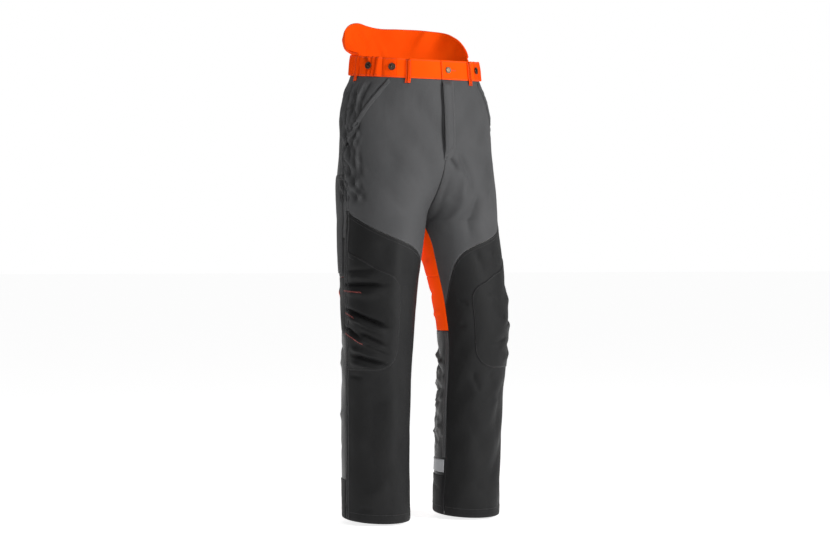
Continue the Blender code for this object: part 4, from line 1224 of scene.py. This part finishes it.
def sewPocket(firstTurn, lastTurn, top, bottom, lift):
    # two rows down the sides and along the bottom
    for inset in (0.0020, 0.0075):
        left, right = firstTurn + inset / bodyShape["girthPerTurn"], lastTurn - inset / bodyShape["girthPerTurn"]
        for turns, heights in (((left, left), (top, bottom + inset)), ((right, right), (top, bottom + inset)),
            ((left, right), (bottom + inset,) * 2)):
            sew("right", turns, heights, "grey", "hipBend", "patch", lift)


sewPocket(1.45, 1.83, -0.110, -0.236, 0.0008)
sewPocket(1.03, 1.42, -0.282, -0.512, 0.0012)
sew("right", (1.036, 1.414), (-0.2915, -0.2915), "grey", "hipBend", "patch", 0.0010)


def onLap(degrees, z, out=0.0):
    return bandPoint(degrees, z, lapLift(degrees) + out)


for z in (-0.0030, -0.0450):
    for first, last in ((-41.5, -2.0), (42.5, 121.5), (122.5, 237.5), (238.5, 317.5)):
        stitch(bandPoint, first + (last - first) * line, [z, z], 0.0002, "orange", "hips")
    stitch(onLap, -0.6 + 42.0 * line, [z, z], 0.0002, "orange", "hips")
stitch(onLap, [-0.9, -0.9], [-0.004, -0.044], 0.0002, "orange", "hips")
for z in (-0.0232, -0.0248):
    stitch(onLap, [8.2, 13.6], [z, z], 0.0004, "orange", "hips", pitch=0.0014)  # buttonhole
stitch(guardPoint, 94 + 177 * line, [0.93, 0.93], 0.0002, "orange", "hips")
makeStitches()
print("stitches made:", sum(len(p) for rows in stitchRows.values() for p, _ in rows))

for node, look in (("fly_slider", "nickelSteel"), ("fly_pull", "nickelSteel"), ("pocket_snap_stud", "bronzeDark")):
    for obj in bpy.data.objects:
        if obj.get("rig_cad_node") == node or obj.name == node:
            obj.data.materials.clear()
            obj.data.materials.append(hard[look])

stageShape = {"floorHeight": -1.098, "distance": 5.5, "azimuth": -31.8, "height": -0.48,
    "target": (0.0, 0.0, -0.5195), "lens": 99.9}

floorMesh = bpy.data.meshes.new("floor")
floorMesh.from_pydata([(-90, -90, 0), (90, -90, 0), (90, 90, 0), (-90, 90, 0)], [], [(0, 1, 2, 3)])
floorMesh.transform(Matrix.Translation((0, 0, stageShape["floorHeight"])))
floorLook, _, shader = newMaterial("paleFloor")
shader.inputs["Base Color"].default_value = (0.86, 0.86, 0.86, 1)
shader.inputs["Roughness"].default_value = 0.9
shader.inputs["Emission Color"].default_value = (1, 1, 1, 1)
shader.inputs["Emission Strength"].default_value = 0.80
floorMesh.materials.append(floorLook)
linked("floor", floorMesh)

cameraData = bpy.data.cameras.new("camera")
cameraData.lens = stageShape["lens"]
camera = linked("camera", cameraData)
azimuth = math.radians(stageShape["azimuth"])
camera.location = (stageShape["distance"] * math.sin(azimuth), -stageShape["distance"] * math.cos(azimuth),
    stageShape["height"])
camera.rotation_euler = (Vector(stageShape["target"]) - camera.location).to_track_quat("-Z", "Y").to_euler()
bpy.context.scene.camera = camera

lights = (
    # name, energy, size, place, aimed at
    ("keyLight", 103, 1.2, (1.7, -3.1, 0.7), (0, 0, -0.5)),
    ("fillLight", 1.8, 2.4, (-3.4, -1.4, 0.6), (0, 0, -0.5)),
    ("rimLight", 6, 1.2, (-1.3, 2.7, 0.0), (0.1, 0, -0.5)),
    ("waistLight", 8, 0.4, (-1.2, -1.6, 0.75), (0.02, 0.05, 0.06)),
)
for name, energy, size, location, aim in lights:
    data = bpy.data.lights.new(name, "AREA")
    data.energy, data.shape, data.size, data.size_y = energy, "RECTANGLE", size, size
    lamp = linked(name, data)
    lamp.location = location
    lamp.rotation_euler = (Vector(aim) - Vector(location)).to_track_quat("-Z", "Y").to_euler()

world = bpy.data.worlds.new("studio")
world.use_nodes = True
world.node_tree.nodes["Background"].inputs["Color"].default_value = (1, 1, 1, 1)
world.node_tree.nodes["Background"].inputs["Strength"].default_value = 0.20
bright = world.node_tree.nodes.new("ShaderNodeBackground")
bright.inputs["Strength"].default_value = 1.0
seen = world.node_tree.nodes.new("ShaderNodeLightPath")
both = world.node_tree.nodes.new("ShaderNodeMixShader")
world.node_tree.links.new(seen.outputs["Is Camera Ray"], both.inputs[0])
world.node_tree.links.new(world.node_tree.nodes["Background"].outputs[0], both.inputs[1])
world.node_tree.links.new(bright.outputs[0], both.inputs[2])
world.node_tree.links.new(both.outputs[0], world.node_tree.nodes["World Output"].inputs[0])
bright.inputs["Color"].default_value = (1, 1, 1, 1)
bpy.context.scene.world = world
bpy.context.scene.view_settings.view_transform = "Standard"
